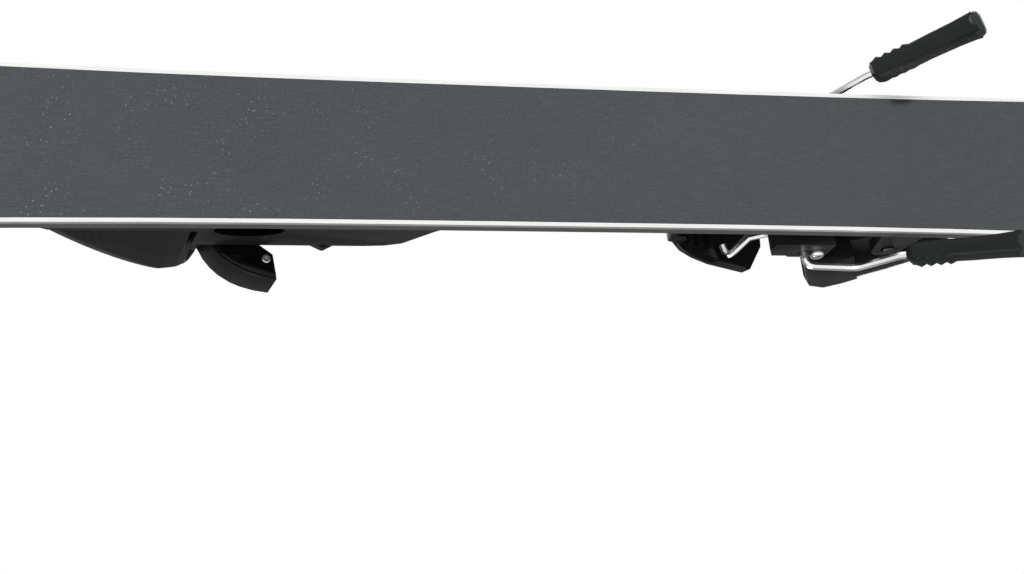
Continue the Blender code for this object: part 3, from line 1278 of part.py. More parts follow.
def make_brake_base():
    """Slide floor on the rails, two spines, hinge ears and a bearing block at each side."""
    floor = SLIDE_Z
    foot = floor + 0.001
    rear = CARRIAGE_FRONT_X + GAP
    half = BRAKE_RAIL_HALF
    base = block("brake_base", (rear, -half, floor), (BRAKE_FRONT_X, half, floor + BRAKE_FLOOR))
    base = add_object("brake_base", base, "black_plastic", 35)
    spine_top = BRAKE_PIN_Z + 0.0055
    spine = [
        (BRAKE_FRONT_X - 0.016, foot), (BRAKE_FRONT_X - 0.020, BRAKE_PIN_Z),
        (BRAKE_PIN_X + 0.012, BRAKE_PIN_Z + 0.002), (BRAKE_PIN_X + 0.006, spine_top),
        (BRAKE_PIN_X - 0.006, spine_top), (rear + 0.0005, BRAKE_PIN_Z - 0.002), (rear + 0.0005, foot),
    ]
    for low, high in both_sides(*SPINE_Y):
        unite(base, plate("spine", spine, low, high, "Y"))
    ear = [(PEDAL_HINGE_X - 0.006, foot)]
    ear += arc((PEDAL_HINGE_X, PEDAL_HINGE_Z), HINGE_EAR_RADIUS, 180, 0, 6)
    ear += [(BRAKE_FRONT_X - 0.0005, foot)]
    for low, high in both_sides(*HINGE_EAR_Y):
        unite(base, plate("ear", ear, low, high, "Y"))
    block_rear, block_foot, high_x = rear + 0.0008, floor + 0.0002, BRAKE_ARM_X + 0.0075
    bearing = [
        (block_rear, block_foot), (BEARING_FRONT_X, block_foot), (BEARING_FRONT_X, BEARING_Z - 0.0060),
        (BEARING_FRONT_X - 0.0035, BEARING_Z), (high_x, BEARING_Z), (high_x - 0.0015, BEARING_Z + 0.0015),
        (block_rear + 0.0015, BEARING_Z + 0.0015), (block_rear, BEARING_Z),
    ]
    for low, high in both_sides(BEARING_INNER_Y, BEARING_OUTER_Y):
        unite(base, plate("bearing", bearing, low, high, "Y"))
    cross_hole(base, BRAKE_PIN_X, BRAKE_PIN_Z, BRAKE_PIN_RADIUS + GAP, 14)
    for side in (1, -1):
        inner, outer = (BRAKE_ARM_X, side * 0.0222, BRAKE_ARM_Z), (BRAKE_ARM_X, side * 0.05, BRAKE_ARM_Z)
        cut(base, cylinder("wire_hole", inner, outer, WIRE_RADIUS + GAP, 12))
    cross_hole(base, PEDAL_HINGE_X, PEDAL_HINGE_Z, PEDAL_PIN_RADIUS + GAP)

    half, radius, chamfer = BRAKE_PIN_HALF, BRAKE_PIN_RADIUS, 0.0006
    profile = [
        (0.0, half), (radius - chamfer, half), (radius, half - chamfer), (radius, chamfer - half),
        (radius - chamfer, -half), (0.0, -half),
    ]
    pin = turned("brake_cross_pin", profile, (BRAKE_PIN_X, 0, BRAKE_PIN_Z), (0, 1, 0), 14)
    add_object("brake_cross_pin", pin, "steel", 35)

    coil_radius = radius + GAP + 0.0001 + BRAKE_SPRING_WIRE
    half, points_per_turn = BRAKE_SPRING_HALF, 9
    coil = helix(
        (BRAKE_PIN_X, BRAKE_PIN_Z), -half, half, coil_radius, BRAKE_SPRING_TURNS, points_per_turn, "Y", -90,
    )
    leg_z = coil[0][2]
    front_leg = [(BRAKE_PIN_X + reach, coil[0][1], leg_z) for reach in (0.020, 0.010)]
    rear_leg = [(BRAKE_PIN_X - 0.0055, coil[-1][1], leg_z)]
    add_spring("brake_spring", front_leg + coil + rear_leg, BRAKE_SPRING_WIRE, points_per_turn)


def wire_route(side):
    """Middle line of one brake wire: peg in the pedal, leg, stretch in the bearing, arm and pad core."""
    arm, kink = Vector((BRAKE_ARM_X, 0, BRAKE_ARM_Z)), Vector(KINK)
    inner, outer = arm + Vector((0, WIRE_INNER_Y, 0)), arm + Vector((0, WIRE_OUTER_Y, 0))
    bend = Vector(PEG_BEND)
    near, far = [bend + (Vector(end) - bend).normalized() * PEG_CORNER for end in (PEG_END, LEG_CORNER)]
    corner = [tuple(near.lerp(bend, t).lerp(bend.lerp(far, t), t)) for t in (0, 0.25, 0.5, 0.75, 1)]
    route = [PEG_END] + corner + [LEG_CORNER]
    inner_bend = ((0.0048, 0, 0.0027), (0.0020, 0.0002, 0.0011), (0.0006, 0.0011, 0.0003), (0, 0.0025, 0))
    outer_bend = (
        (0, -0.0047, 0), (-0.0004, -0.0022, -0.0001), (-0.0018, -0.0007, -0.0002), (-0.0042, 0, -0.0004),
    )
    kink_bend = ((0.0025, -0.0003, 0.0012), (0, 0, 0), (-0.0025, 0.0003, -0.0022))
    for corner, bend in ((inner, inner_bend), (outer, outer_bend), (kink, kink_bend)):
        route += [tuple(corner + Vector(step)) for step in bend]
    start = Vector(PAD_START)
    direction = pad_direction()
    route += [tuple(start - direction * 0.004), tuple(start + direction * PAD_CORE)]
    return [(x, side * y, z) for x, y, z in route]


def pad_direction():
    return (Vector(PAD_END) - Vector(PAD_START)).normalized()


def make_pad(side):
    """Plastic blade moulded over the end of the wire: teeth on its outer face, and a rim at its tip."""
    direction = pad_direction()
    across = Vector((-direction.z, 0, direction.x)).normalized()
    outward = direction.cross(across).normalized()
    if outward.y < 0:
        outward = -outward
    half, face = PAD_DEPTH / 2, PAD_HALF
    root = face - PAD_TOOTH / 2
    blade = [(0.0, 0.62 * face, 0.62 * face, 0.72 * half), (0.0012, 0.85 * face, 0.85 * face, 0.90 * half)]
    for i in range(PAD_TEETH):
        start = 0.0028 + i * PAD_TOOTH_PITCH
        tip = start + 0.45 * PAD_TOOTH_PITCH
        blade += [(start, root, face - 0.0003, half), (tip, root + PAD_TOOTH, face + 0.0001, half)]
    blade += [
        (0.0030 + PAD_TEETH * PAD_TOOTH_PITCH, root, face - 0.0004, half),
        (0.51 * PAD_LENGTH, face - 0.0003, face - 0.0006, half),
        (0.78 * PAD_LENGTH, face, face - 0.0004, half + 0.0003),
        (PAD_LENGTH - 0.0050, face + 0.0004, face, half + 0.0006),
        (PAD_LENGTH - 0.0016, face + 0.0006, face + 0.0004, half + 0.0008),
        (PAD_LENGTH, face - 0.0008, face - 0.0010, half - 0.0008),
    ]
    chamfer = PAD_CHAMFER
    flip = Vector((1, side, 1))
    rings = []
    for along, outer, inner, width in blade:
        section = [
            (outer, width - chamfer), (outer - chamfer, width),
            (chamfer - inner, width), (-inner, width - chamfer),
        ]
        section += [(a, -b) for a, b in reversed(section)]
        middle = Vector(PAD_START) + direction * along
        rings.append([(middle + outward * a + across * b) * flip for a, b in section])
    name = f"brake_pad_{side_name(side)}"
    pad = add_object(name, loft(name, rings), "black_plastic", 35)
    start, end = Vector(PAD_START) - direction * 0.01, Vector(PAD_START) + direction * (PAD_CORE + 0.0005)
    cut(pad, cylinder("core", start * flip, end * flip, WIRE_RADIUS + GAP, 12))
    set_origin(pad, (BRAKE_ARM_X, 0, BRAKE_ARM_Z))


def make_brake_arms():
    for side in (1, -1):
        wire = tube("wire", wire_route(side), WIRE_RADIUS, 2)
        wire = add_object(f"brake_wire_{side_name(side)}", wire, "steel", 60)
        set_origin(wire, (BRAKE_ARM_X, 0, BRAKE_ARM_Z))
        make_pad(side)


def make_pedal():
    """Step plate with side skirts and ribs below, drawn flat and tipped up about its hinge."""
    top = SOLE_Z - 0.0007 - PEDAL_HINGE_Z
    low = top - PEDAL_THICKNESS
    half, length = PEDAL_HALF, PEDAL_LENGTH
    shape = mirrored([
        (0.0035, half - 0.0175), (0.0020, half - 0.0120), (-0.0010, half - 0.0080), (-0.0055, half - 0.0040),
        (-0.0140, half - 0.0015), (-0.0260, half), (-length + 0.0175, half),
        (-length + 0.0130, half - 0.0020), (-length + 0.0010, half - 0.0165), (-length, half - 0.0235),
    ])
    pedal = add_object("brake_pedal", plate("pedal", shape, low, top), "black_plastic", 35)
    overlap = 0.0005
    skirt_front, skirt_rear, skirt_low = -0.0265, -length + 0.0180, top - PEDAL_SKIRT
    skirt = [
        (skirt_front, low + overlap), (skirt_front - 0.004, skirt_low), (skirt_rear + 0.003, skirt_low),
        (skirt_rear, skirt_low + 0.0025), (skirt_rear, low + overlap),
    ]
    outer = half - 0.0002
    for near, far in both_sides(outer - PEDAL_SKIRT_WALL, outer):
        unite(pedal, plate("skirt", skirt, near, far, "Y"))
    radius = PEDAL_EAR_RADIUS
    ear = arc((0, 0), radius, -180, 0, 6)
    ear += [(radius + 0.0002, low + overlap), (-radius - 0.0002, low + overlap)]
    for near, far in both_sides(*PEDAL_EAR_Y):
        unite(pedal, plate("ear", ear, near, far, "Y"))
    rib_half, rib_end, rib_pitch = 0.0008, half - 0.0075, 0.007
    for i in range(3):
        x = -0.012 - i * rib_pitch
        foot, head = (x - rib_half, -rib_end, top - 0.0045), (x + rib_half, rib_end, low + 0.0002)
        unite(pedal, block("rib", foot, head))
    cross_hole(pedal, 0, 0, PEDAL_PIN_RADIUS + GAP)
    place(pedal, (PEDAL_HINGE_X, 0, PEDAL_HINGE_Z), PEDAL_TILT_DEG)
    near, far = [(PEDAL_HINGE_X, side * PEDAL_PIN_HALF, PEDAL_HINGE_Z) for side in (-1, 1)]
    add_object("pedal_pin", cylinder("pedal_pin", near, far, PEDAL_PIN_RADIUS, 12), "steel", 35)



clear_scene()
PARTS = new_collection("alpine_ski")
CUTTERS = new_collection("cutters")
STATIONS = stations()

make_ski()
make_mounting_screws()
make_toe_base()
make_toe_housing()
for wing_side in (1, -1):
    make_wing(wing_side)
make_toe_release()
make_track()
make_carriage()
make_heel_housing()
make_lever()
make_brake_base()
make_brake_arms()
make_pedal()
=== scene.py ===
"""Looks of the alpine ski: camera, studio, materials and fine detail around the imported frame."""

import json
from math import cos, pi, radians, sin

import bmesh
import bpy
from mathutils import Matrix, Vector


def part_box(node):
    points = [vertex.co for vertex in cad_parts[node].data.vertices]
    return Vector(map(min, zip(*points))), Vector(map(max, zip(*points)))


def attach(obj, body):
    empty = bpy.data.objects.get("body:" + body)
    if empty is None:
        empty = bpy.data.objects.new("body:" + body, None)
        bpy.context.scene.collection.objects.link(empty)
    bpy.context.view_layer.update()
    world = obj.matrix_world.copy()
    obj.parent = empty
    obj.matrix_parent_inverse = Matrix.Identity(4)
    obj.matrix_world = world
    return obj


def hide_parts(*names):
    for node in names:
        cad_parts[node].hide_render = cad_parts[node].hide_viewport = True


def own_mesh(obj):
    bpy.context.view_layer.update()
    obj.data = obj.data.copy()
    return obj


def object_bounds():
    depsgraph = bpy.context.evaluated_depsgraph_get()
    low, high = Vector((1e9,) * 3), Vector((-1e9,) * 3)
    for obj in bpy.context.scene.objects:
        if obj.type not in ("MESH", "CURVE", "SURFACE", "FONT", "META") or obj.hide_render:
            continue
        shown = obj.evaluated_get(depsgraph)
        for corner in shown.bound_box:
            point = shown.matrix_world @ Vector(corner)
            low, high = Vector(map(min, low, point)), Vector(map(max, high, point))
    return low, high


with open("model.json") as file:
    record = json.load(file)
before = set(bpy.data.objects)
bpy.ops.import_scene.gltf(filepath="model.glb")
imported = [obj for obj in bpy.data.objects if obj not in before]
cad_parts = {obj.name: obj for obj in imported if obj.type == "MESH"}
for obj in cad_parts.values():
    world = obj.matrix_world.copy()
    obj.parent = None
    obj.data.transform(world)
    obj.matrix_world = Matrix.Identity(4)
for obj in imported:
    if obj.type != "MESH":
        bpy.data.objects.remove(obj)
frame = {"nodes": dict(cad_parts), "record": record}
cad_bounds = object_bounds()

SIDES = ((1, "left"), (-1, "right"))
DOWN = (0, 0, -1)

# The photograph's camera
LENS_MM = 84.375
CAMERA_TILT_DEG = 21.5
CAMERA_YAW_DEG = 20.89
CAMERA_ROLL_DEG = 0.19
OBJECT_SHIFT = Vector((0.0, -0.0631, 1.1323))
OBJECT_CENTRE_X = 0.030
CLIP_END = 50

# Floor, as half its width and the gap between it and the part, and the backdrop, each with its glow
FLOOR_SIZE = 9.0
FLOOR_GAP = 0.002
FLOOR_GLOW = 0.30
BACKDROP_RADIUS = 14.0
BACKDROP_GLOW = 1.0
# Light from all round: its strength from below and from above, and the heights between which it changes
LIGHT_BELOW = 1.0
LIGHT_ABOVE = 0.24
LIGHT_CHANGE = (-0.25, 0.35)
# Lamps, which face the origin: name, place, size in metres and power in watts
LAMPS = (
    ("key", (0.9, -1.5, -1.6), 1.6, 6), ("fill", (1.2, 1.6, -1.3), 1.4, 7),
    ("top_key", (1.8, 1.0, 1.6), 1.4, 70), ("top_fill", (-1.3, 1.2, 1.5), 1.6, 50),
    ("side_fill", (0.5, -2.3, 0.5), 1.2, 22),
)

# Ways that grinding or drawing lines run, as the stretch of the pattern along each axis
LENGTHWISE = (0.02, 1, 1)
CROSSWISE = (1, 0.05, 1)
NO_WAY = (1, 1, 1)
# Metals: colour, roughness, way and depth of the lines
METALS = {
    "edge_steel": ((0.95, 0.95, 0.94), 0.34, LENGTHWISE, 0.00002),
    "protector": ((0.80, 0.80, 0.81), 0.38, CROSSWISE, 0.00002),
    "screw_steel": ((0.62, 0.63, 0.64), 0.32, NO_WAY, 0.00002),
    "track_steel": ((0.30, 0.31, 0.32), 0.36, LENGTHWISE, 0.00002),
    "dark_steel": ((0.070, 0.070, 0.070), 0.34, NO_WAY, 0.00002),
    "bright_steel": ((0.90, 0.90, 0.88), 0.22, NO_WAY, 0.000008),
    "spring_steel": ((0.30, 0.30, 0.31), 0.35, NO_WAY, 0.00002),
}
# Moulded plastics: colour, least and greatest roughness, scale and depth of the grain, and gloss
PLASTICS = {
    "black_plastic": ((0.0045, 0.0050, 0.0048), 0.28, 0.42, 2200, 0.00004, 0.18),
    "gloss_black": ((0.0012, 0.0012, 0.0012), 0.10, 0.18, 900, 0.000004, 0.14),
    "grey_plastic": ((0.0046, 0.0052, 0.0050), 0.26, 0.38, 2200, 0.00004, 0.15),
    "indicator": ((0.55, 0.04, 0.03), 0.35, 0.45, 2200, 0.00004, 0.22),
    "pad_plastic": ((0.0060, 0.0080, 0.0078), 0.36, 0.52, 1600, 0.00006, 0.16),
}
SCUFFED_PLASTIC = ((0.022, 0.026, 0.026), 0.45, 0.65, 900, 0.00008, 0.20)
# Ends along X of the running base's painted shade, painted sheen and thinning specks, and of the topsheet
BASE_SHADE_AND_SPECK_ENDS = (-0.30, 0.32)
TOPSHEET_ENDS = (-0.72, 0.88)

# Widths of the rounded edges of moulded and forged nodes
SOFT_EDGES = {
    "toe_base_plate": 0.0006, "toe_wing_left": 0.0016, "toe_wing_right": 0.0016,
    "wing_underplate_left": 0.0003, "wing_underplate_right": 0.0003, "toe_rest_plate": 0.0004,
    "heel_carriage": 0.0004, "heel_housing": 0.0008, "heel_lever": 0.0008, "heel_latch": 0.0004,
    "brake_base": 0.0006, "brake_pedal": 0.0010, "brake_pad_left": 0.0009, "brake_pad_right": 0.0009,
    "heel_track": 0.0003, "tail_protector": 0.0003,
}
# Nodes moulded in flowing shapes: voxel size, rounds of smoothing and share of the faces kept
FLOWING = {"toe_housing": (0.0007, 10, 0.30)}
EDGE_STEPS = 2
EDGE_ANGLE_DEG = 28
SMOOTH_ANGLE_DEG = 32
SMOOTH_SHARE = 0.5
WELD_DISTANCE = 1e-6

# Toe piece: each side's oval recess and the rings of its dark insert, which paints shade into the recess, as
# half length, half height and distance from the middle
RECESS_CENTRE = (0.1555, 0.0195)
RECESS_LOW_Z = 0.0219
SHADE_INSERT_RINGS = (
    (0.0166, 0.0070, 0.0281), (0.0166, 0.0070, 0.0327), (0.0162, 0.0066, 0.0327), (0.0162, 0.0066, 0.0285),
)
SHADE_INSERT_STEPS = 24
SHADE_INSERT_FOOT = 0.0004
# Glides of the boot rest, from rear to front, and slanting ribs at the nose's sides, from foot to head
GLIDE_X = (0.1035, 0.1285)
GLIDE_PITCH = 0.0085
GLIDES_BESIDE_MIDDLE = 3
GLIDE_RADIUS = 0.0007
NOSE_RIB_X = 0.2395
NOSE_RIB_PITCH = 0.0042
NOSE_RIBS = 5
NOSE_RIB_LEAN = 0.006
NOSE_RIB_Z = (0.0285, 0.0395)
NOSE_RIB_RISE = 0.0022
NOSE_RIB_RADIUS = 0.0005

# Heel piece: how far it stands open, its axle's X and Z, and its spring's height over the axle when closed
HEEL_OPEN_DEG = 30.0
HEEL_AXLE = (-0.188, 0.042)
HEEL_SPRING_Z = 0.0140
# Grips of the lever: distance of the first from the lever's rear end, and the half length of the last
GRIP_REAR = 0.0060
GRIP_PITCH = 0.0034
GRIP_HALF = 0.0105
GRIP_CURVE = 0.0004
GRIPS = 4

# Scale lines beside both windows: middle, then start of each line, reach of long ones and reach of
# short ones, and how many stand on each side of the middle
TOE_WINDOW_X = 0.224
TOE_SCALE_Y = (0.0066, 0.0092, 0.0080)
TOE_SCALE_LINES = 3
HEEL_WINDOW_X = 0.0055
HEEL_SCALE_Y = (0.0058, 0.0082, 0.0072)
HEEL_SCALE_LINES = 2
SCALE_PITCH = 0.002
SCALE_RADIUS = 0.0002

# Brake: treads of the pedal, domed end of the cross pin as (radius, height), and end cap of a pad
TREAD_FRONT_X = -0.083
TREAD_PITCH = 0.0085
TREAD_HALF = 0.0250
TREAD_TAPER = 0.0012
TREADS = 5
CROSS_PIN = (-0.1385, 0.0385, 0.0285)
PIN_DOME = (
    (0.0, -0.0006), (0.0037, -0.0006), (0.0037, 0.0005), (0.0034, 0.0012), (0.0026, 0.0018), (0.0014, 0.0021),
    (0.0, 0.0022),
)
PIN_STEPS = 24
PAD_START = (-0.1735, 0.0498, 0.0005)
PAD_END = (-0.2155, 0.0596, -0.0400)
PAD_LENGTH = 0.0590
# Pad cap: its half widths inward, outward and across, and its rings as (distance past the pad's tip,
# share of the half widths)
CAP_INWARD = 0.0060
CAP_OUTWARD = 0.0068
CAP_ACROSS = 0.0081
CAP_RINGS = ((-0.0036, 0.90), (-0.0024, 1.0), (-0.0004, 1.0), (0.0010, 0.90), (0.0018, 0.66))
CAP_STEPS = 28

# Release springs: ends of the toe's two coils, which meet in the middle, and ends of the heel's coil,
# measured from its axle when closed
TOE_AXIS_Z = 0.0385
TOE_COIL_X = (0.1967, 0.20825, 0.2198)
TOE_COIL_RADIUS = 0.0085
TOE_COIL_TURNS = 2.5
HEEL_COIL_X = (0.0092, 0.0248)
HEEL_FIXED_X = 0.0264
HEEL_COIL_RADIUS = 0.0072
HEEL_COIL_TURNS = 4
COIL_WIRE = 0.0014
COIL_STEPS = 16

# Dark cross on a mounting screw, painted shade of its driver's seat
CROSS_HALF = 0.0023
CROSS_RADIUS = 0.00042

# Ribs: radius of grips and treads, depth that ribs sink in, and height over a piece that they drop from
TREAD_RADIUS = 0.0008
RIB_SINK = 0.0002
DROP = 0.02
# Round bars: sides, share of the radius at their pinched ends, and a direction that none of them runs in
TUBE_SIDES = 8
PINCH = 0.45
OFF_AXIS = (0.12, 0.34, 0.93)
# Radius of a turned piece where its profile meets the axis
AXIS_RADIUS = 1e-5


def make_camera():
    """Camera at the photograph's place: below the running base, to its right, ahead of the boot centre."""
    turn = (
        Matrix.Rotation(radians(CAMERA_ROLL_DEG), 3, "Z")
        @ Matrix.Rotation(radians(-CAMERA_YAW_DEG), 3, "Y")
        @ Matrix.Rotation(radians(-CAMERA_TILT_DEG), 3, "X")
        @ Matrix.Diagonal((-1, -1, 1))
    )
    data = bpy.data.cameras.new("camera")
    data.lens = LENS_MM
    data.clip_end = CLIP_END
    camera = bpy.data.objects.new("camera", data)
    bpy.context.scene.collection.objects.link(camera)
    facing = (Matrix.Diagonal((1, -1, -1)) @ turn).transposed()
    camera.matrix_world = Matrix.LocRotScale(
        Vector((OBJECT_CENTRE_X, 0, 0)) - turn.transposed() @ OBJECT_SHIFT, facing.to_quaternion(), None
    )
    bpy.context.scene.camera = camera


class Shader:
    """A material's nodes, with short calls for the few kinds that the looks need."""

    def __init__(self, name, roughness, metallic=0.0, **sockets):
        self.material = bpy.data.materials.new(name)
        self.material.use_nodes = True
        self.tree = self.material.node_tree
        self.bsdf = self.tree.nodes["Principled BSDF"]
        self.bsdf.inputs["Roughness"].default_value = roughness
        self.bsdf.inputs["Metallic"].default_value = metallic
        for socket, value in sockets.items():
            self.bsdf.inputs[socket.replace("_", " ")].default_value = value

    def add(self, kind, **values):
        node = self.tree.nodes.new(kind)
        for key, value in values.items():
            setattr(node, key, value)
        return node

    def link(self, output, socket):
        self.tree.links.new(output, socket)

    def place(self, stretch=(1, 1, 1)):
        """Places on the piece in metres, stretched by a factor along each axis."""
        coordinates = self.add("ShaderNodeTexCoord")
        mapping = self.add("ShaderNodeMapping")
        mapping.inputs["Scale"].default_value = stretch
        self.link(coordinates.outputs["Object"], mapping.inputs["Vector"])
        return mapping.outputs["Vector"]

    def noise(self, scale, stretch=(1, 1, 1), detail=3.0, rough=0.5):
        node = self.add("ShaderNodeTexNoise")
        node.inputs["Scale"].default_value = scale
        node.inputs["Detail"].default_value = detail
        node.inputs["Roughness"].default_value = rough
        self.link(self.place(stretch), node.inputs["Vector"])
        return node.outputs["Fac"]

    def cells(self, scale, stretch=(1, 1, 1)):
        node = self.add("ShaderNodeTexVoronoi")
        node.inputs["Scale"].default_value = scale
        self.link(self.place(stretch), node.inputs["Vector"])
        return node

    def ramp(self, fac, *stops):
        """Colours or greys at positions along a factor."""
        node = self.add("ShaderNodeValToRGB")
        elements = node.color_ramp.elements
        while len(elements) < len(stops):
            elements.new(0.5)
        for element, (position, value) in zip(elements, stops):
            element.position = position
            element.color = (*value, 1) if isinstance(value, tuple) else (value, value, value, 1)
        self.link(fac, node.inputs["Fac"])
        return node.outputs["Color"]

    def spread(self, fac, low, high):
        """The factor from 0 to 1 taken to a range."""
        node = self.add("ShaderNodeMapRange")
        node.inputs["To Min"].default_value = low
        node.inputs["To Max"].default_value = high
        self.link(fac, node.inputs["Value"])
        return node.outputs["Result"]

    def along_x(self, rear, front):
        """Share of the way along X from one place to another."""
        split = self.add("ShaderNodeSeparateXYZ")
        self.link(self.place(), split.inputs["Vector"])
        share = self.add("ShaderNodeMapRange")
        share.inputs["From Min"].default_value = rear
        share.inputs["From Max"].default_value = front
        self.link(split.outputs["X"], share.inputs["Value"])
        return share.outputs["Result"]

    def mix(self, fac, first, second, blend="MIX"):
        """Two colours mixed, each a value or an output; the mix node's colours are its sockets 6, 7 and 2."""
        node = self.add("ShaderNodeMix", data_type="RGBA", blend_type=blend)
        for value, socket in ((fac, node.inputs[0]), (first, node.inputs[6]), (second, node.inputs[7])):
            if isinstance(value, bpy.types.NodeSocket):
                self.link(value, socket)
            else:
                socket.default_value = value if isinstance(value, float) else (*value, 1)
        return node.outputs[2]

    def color(self, output):
        self.link(output, self.bsdf.inputs["Base Color"])

    def rough(self, output):
        self.link(output, self.bsdf.inputs["Roughness"])

    def bump(self, height, distance, strength):
        node = self.add("ShaderNodeBump")
        node.inputs["Strength"].default_value = strength
        node.inputs["Distance"].default_value = distance
        self.link(height, node.inputs["Height"])
        self.link(node.outputs["Normal"], self.bsdf.inputs["Normal"])

    def glow(self, strength):
        """White light that the piece gives off."""
        self.bsdf.inputs["Emission Color"].default_value = (1, 1, 1, 1)
        self.bsdf.inputs["Emission Strength"].default_value = strength


def base_sheet():
    """Graphite running base: fine lengthwise lines, soft mottle, specks that thin out rearwards, painted
    shade to the rear and a painted sheen to the front.
    """
    # black is the colour of the painted shade at the rear, haze the colour of the painted sheen at the front
    black, haze, speck = (0.0, 0.0, 0.0), (0.050, 0.055, 0.060), (0.25, 0.27, 0.29)
    dark_patch, pale_patch = (0.0050, 0.0145, 0.0205), (0.0130, 0.0245, 0.0320)
    look = Shader("base_sheet", 0.20, Specular_IOR_Level=0.80, Specular_Tint=(0.92, 0.975, 1.0, 1.0))
    lines = look.noise(1700, (0.05, 1, 1), 4, 0.75)
    grains = look.noise(1300, (0.6, 1, 1), 2, 0.6)
    mottle = look.noise(30, (0.5, 1, 1), 5, 0.6)
    ahead = look.along_x(*BASE_SHADE_AND_SPECK_ENDS)

    # Own tone, with painted shade that darkens it to the rear and a painted sheen that lightens it to the
    # front
    tone = look.ramp(mottle, (0.32, dark_patch), (0.68, pale_patch))
    tone = look.mix(look.ramp(ahead, (0.0, 0.9), (0.35, 0.0)), tone, black)
    tone = look.mix(look.ramp(ahead, (0.75, 0.0), (1.0, 0.30)), tone, haze)
    # Ground lines and grains
    tone = look.mix(0.34, tone, look.ramp(lines, (0.36, 0.000), (0.64, 0.070)))
    tone = look.mix(0.30, tone, look.ramp(grains, (0.36, 0.000), (0.66, 0.066)))
    # Specks, in patches, fewer to the rear
    spots = look.ramp(look.cells(430).outputs["Distance"], (0.08, 1.0), (0.20, 0.0))
    patches = look.ramp(look.noise(34, detail=4), (0.46, 0.0), (0.66, 0.8))
    shown = look.ramp(ahead, (0.30, 0.10), (0.80, 1.0))
    spots = look.mix(1.0, look.mix(1.0, spots, patches, "MULTIPLY"), shown, "MULTIPLY")
    look.color(look.mix(spots, tone, speck))
    look.rough(look.spread(mottle, 0.09, 0.15))
    look.bump(lines, 0.000012, 0.4)
    return look.material


def ground_steel(name, tone, roughness, way, depth):
    """Ground or drawn steel: fine lines along the grinding and a tone that shifts with them."""
    look = Shader(name, roughness, 1.0)
    lines = look.noise(1500, way, 3, 0.6)
    darker = tuple(0.86 * c for c in tone)
    look.color(look.ramp(lines, (0.3, darker), (0.7, tone)))
    look.rough(look.spread(lines, roughness * 0.8, roughness * 1.25))
    look.bump(lines, depth, 0.5)
    return look.material


def sidewall():
    """Phenolic sidewall, planed lengthwise."""
    look = Shader("sidewall", 0.45, Specular_IOR_Level=0.25)
    lines = look.noise(700, (0.04, 1, 1), 3)
    look.color(look.ramp(lines, (0.3, (0.052, 0.054, 0.050)), (0.7, (0.072, 0.074, 0.069))))
    look.bump(lines, 0.00005, 0.5)
    return look.material


def laminate():
    """Glass laminate with its weave."""
    look = Shader("laminate", 0.4)
    weave = look.noise(900, (0.2, 1, 1), 2)
    look.color(look.ramp(weave, (0.3, (0.10, 0.10, 0.095)), (0.7, (0.16, 0.155, 0.14))))
    return look.material


def core_wood():
    """Wood core with lengthwise grain."""
    look = Shader("core_wood", 0.6)
    grain = look.noise(60, (0.05, 1, 1), 5)
    look.color(look.ramp(grain, (0.3, (0.42, 0.26, 0.13)), (0.7, (0.62, 0.44, 0.26))))
    look.bump(grain, 0.0001, 0.3)
    return look.material


def topsheet():
    """White sheet that fades to rose at both ends, with fine pearl grain under the lacquer."""
    white = (0.88, 0.87, 0.87)
    look = Shader("topsheet", 0.28, Coat_Weight=0.4, Coat_Roughness=0.1)
    tone = look.ramp(
        look.along_x(*TOPSHEET_ENDS), (0.02, (0.62, 0.10, 0.14)), (0.20, (0.86, 0.72, 0.73)), (0.34, white),
        (0.66, white), (0.80, (0.86, 0.70, 0.72)), (0.98, (0.60, 0.08, 0.12)),
    )
    pearl = look.noise(1400, (0.3, 1, 1), 2)
    look.color(look.mix(look.spread(pearl, 0.0, 0.12), tone, (0.70, 0.70, 0.72)))
    look.bump(pearl, 0.00001, 0.3)
    return look.material


def moulded(name, tone, low_rough, high_rough, grain, depth, gloss):
    """Moulded plastic: fine spark-eroded grain and faint handling marks."""
    look = Shader(name, low_rough, Specular_IOR_Level=gloss)
    fine = look.noise(grain, detail=2)
    wear = look.noise(40, detail=4)
    paler = tuple(1.35 * c + 0.001 for c in tone)
    look.color(look.ramp(wear, (0.3, tone), (0.75, paler)))
    look.rough(look.spread(wear, low_rough, high_rough))
    look.bump(fine, depth, 0.5)
    return look.material


def clear_window():
    """Clear window with a faint haze."""
    look = Shader("window", 0.05, Transmission_Weight=0.9, IOR=1.5)
    haze = look.noise(120, detail=2)
    look.color(look.ramp(haze, (0.3, (0.86, 0.90, 0.92)), (0.7, (0.92, 0.95, 0.96))))
    look.rough(look.spread(haze, 0.04, 0.10))
    return look.material


def dress_nodes():
    """Gives each node the finish of its slot, and returns the finishes by slot."""
    finishes = {
        "base_sheet": base_sheet(), "sidewall": sidewall(), "laminate": laminate(), "core_wood": core_wood(),
        "topsheet": topsheet(), "window": clear_window(),
    }
    finishes.update({slot: ground_steel(slot, *values) for slot, values in METALS.items()})
    finishes.update({slot: moulded(slot, *values) for slot, values in PLASTICS.items()})
    for row in frame["record"]["subparts"]:
        obj = frame["nodes"][row["node"]]
        obj.data.materials.clear()
        obj.data.materials.append(finishes[row["material_slot"]])
    return finishes


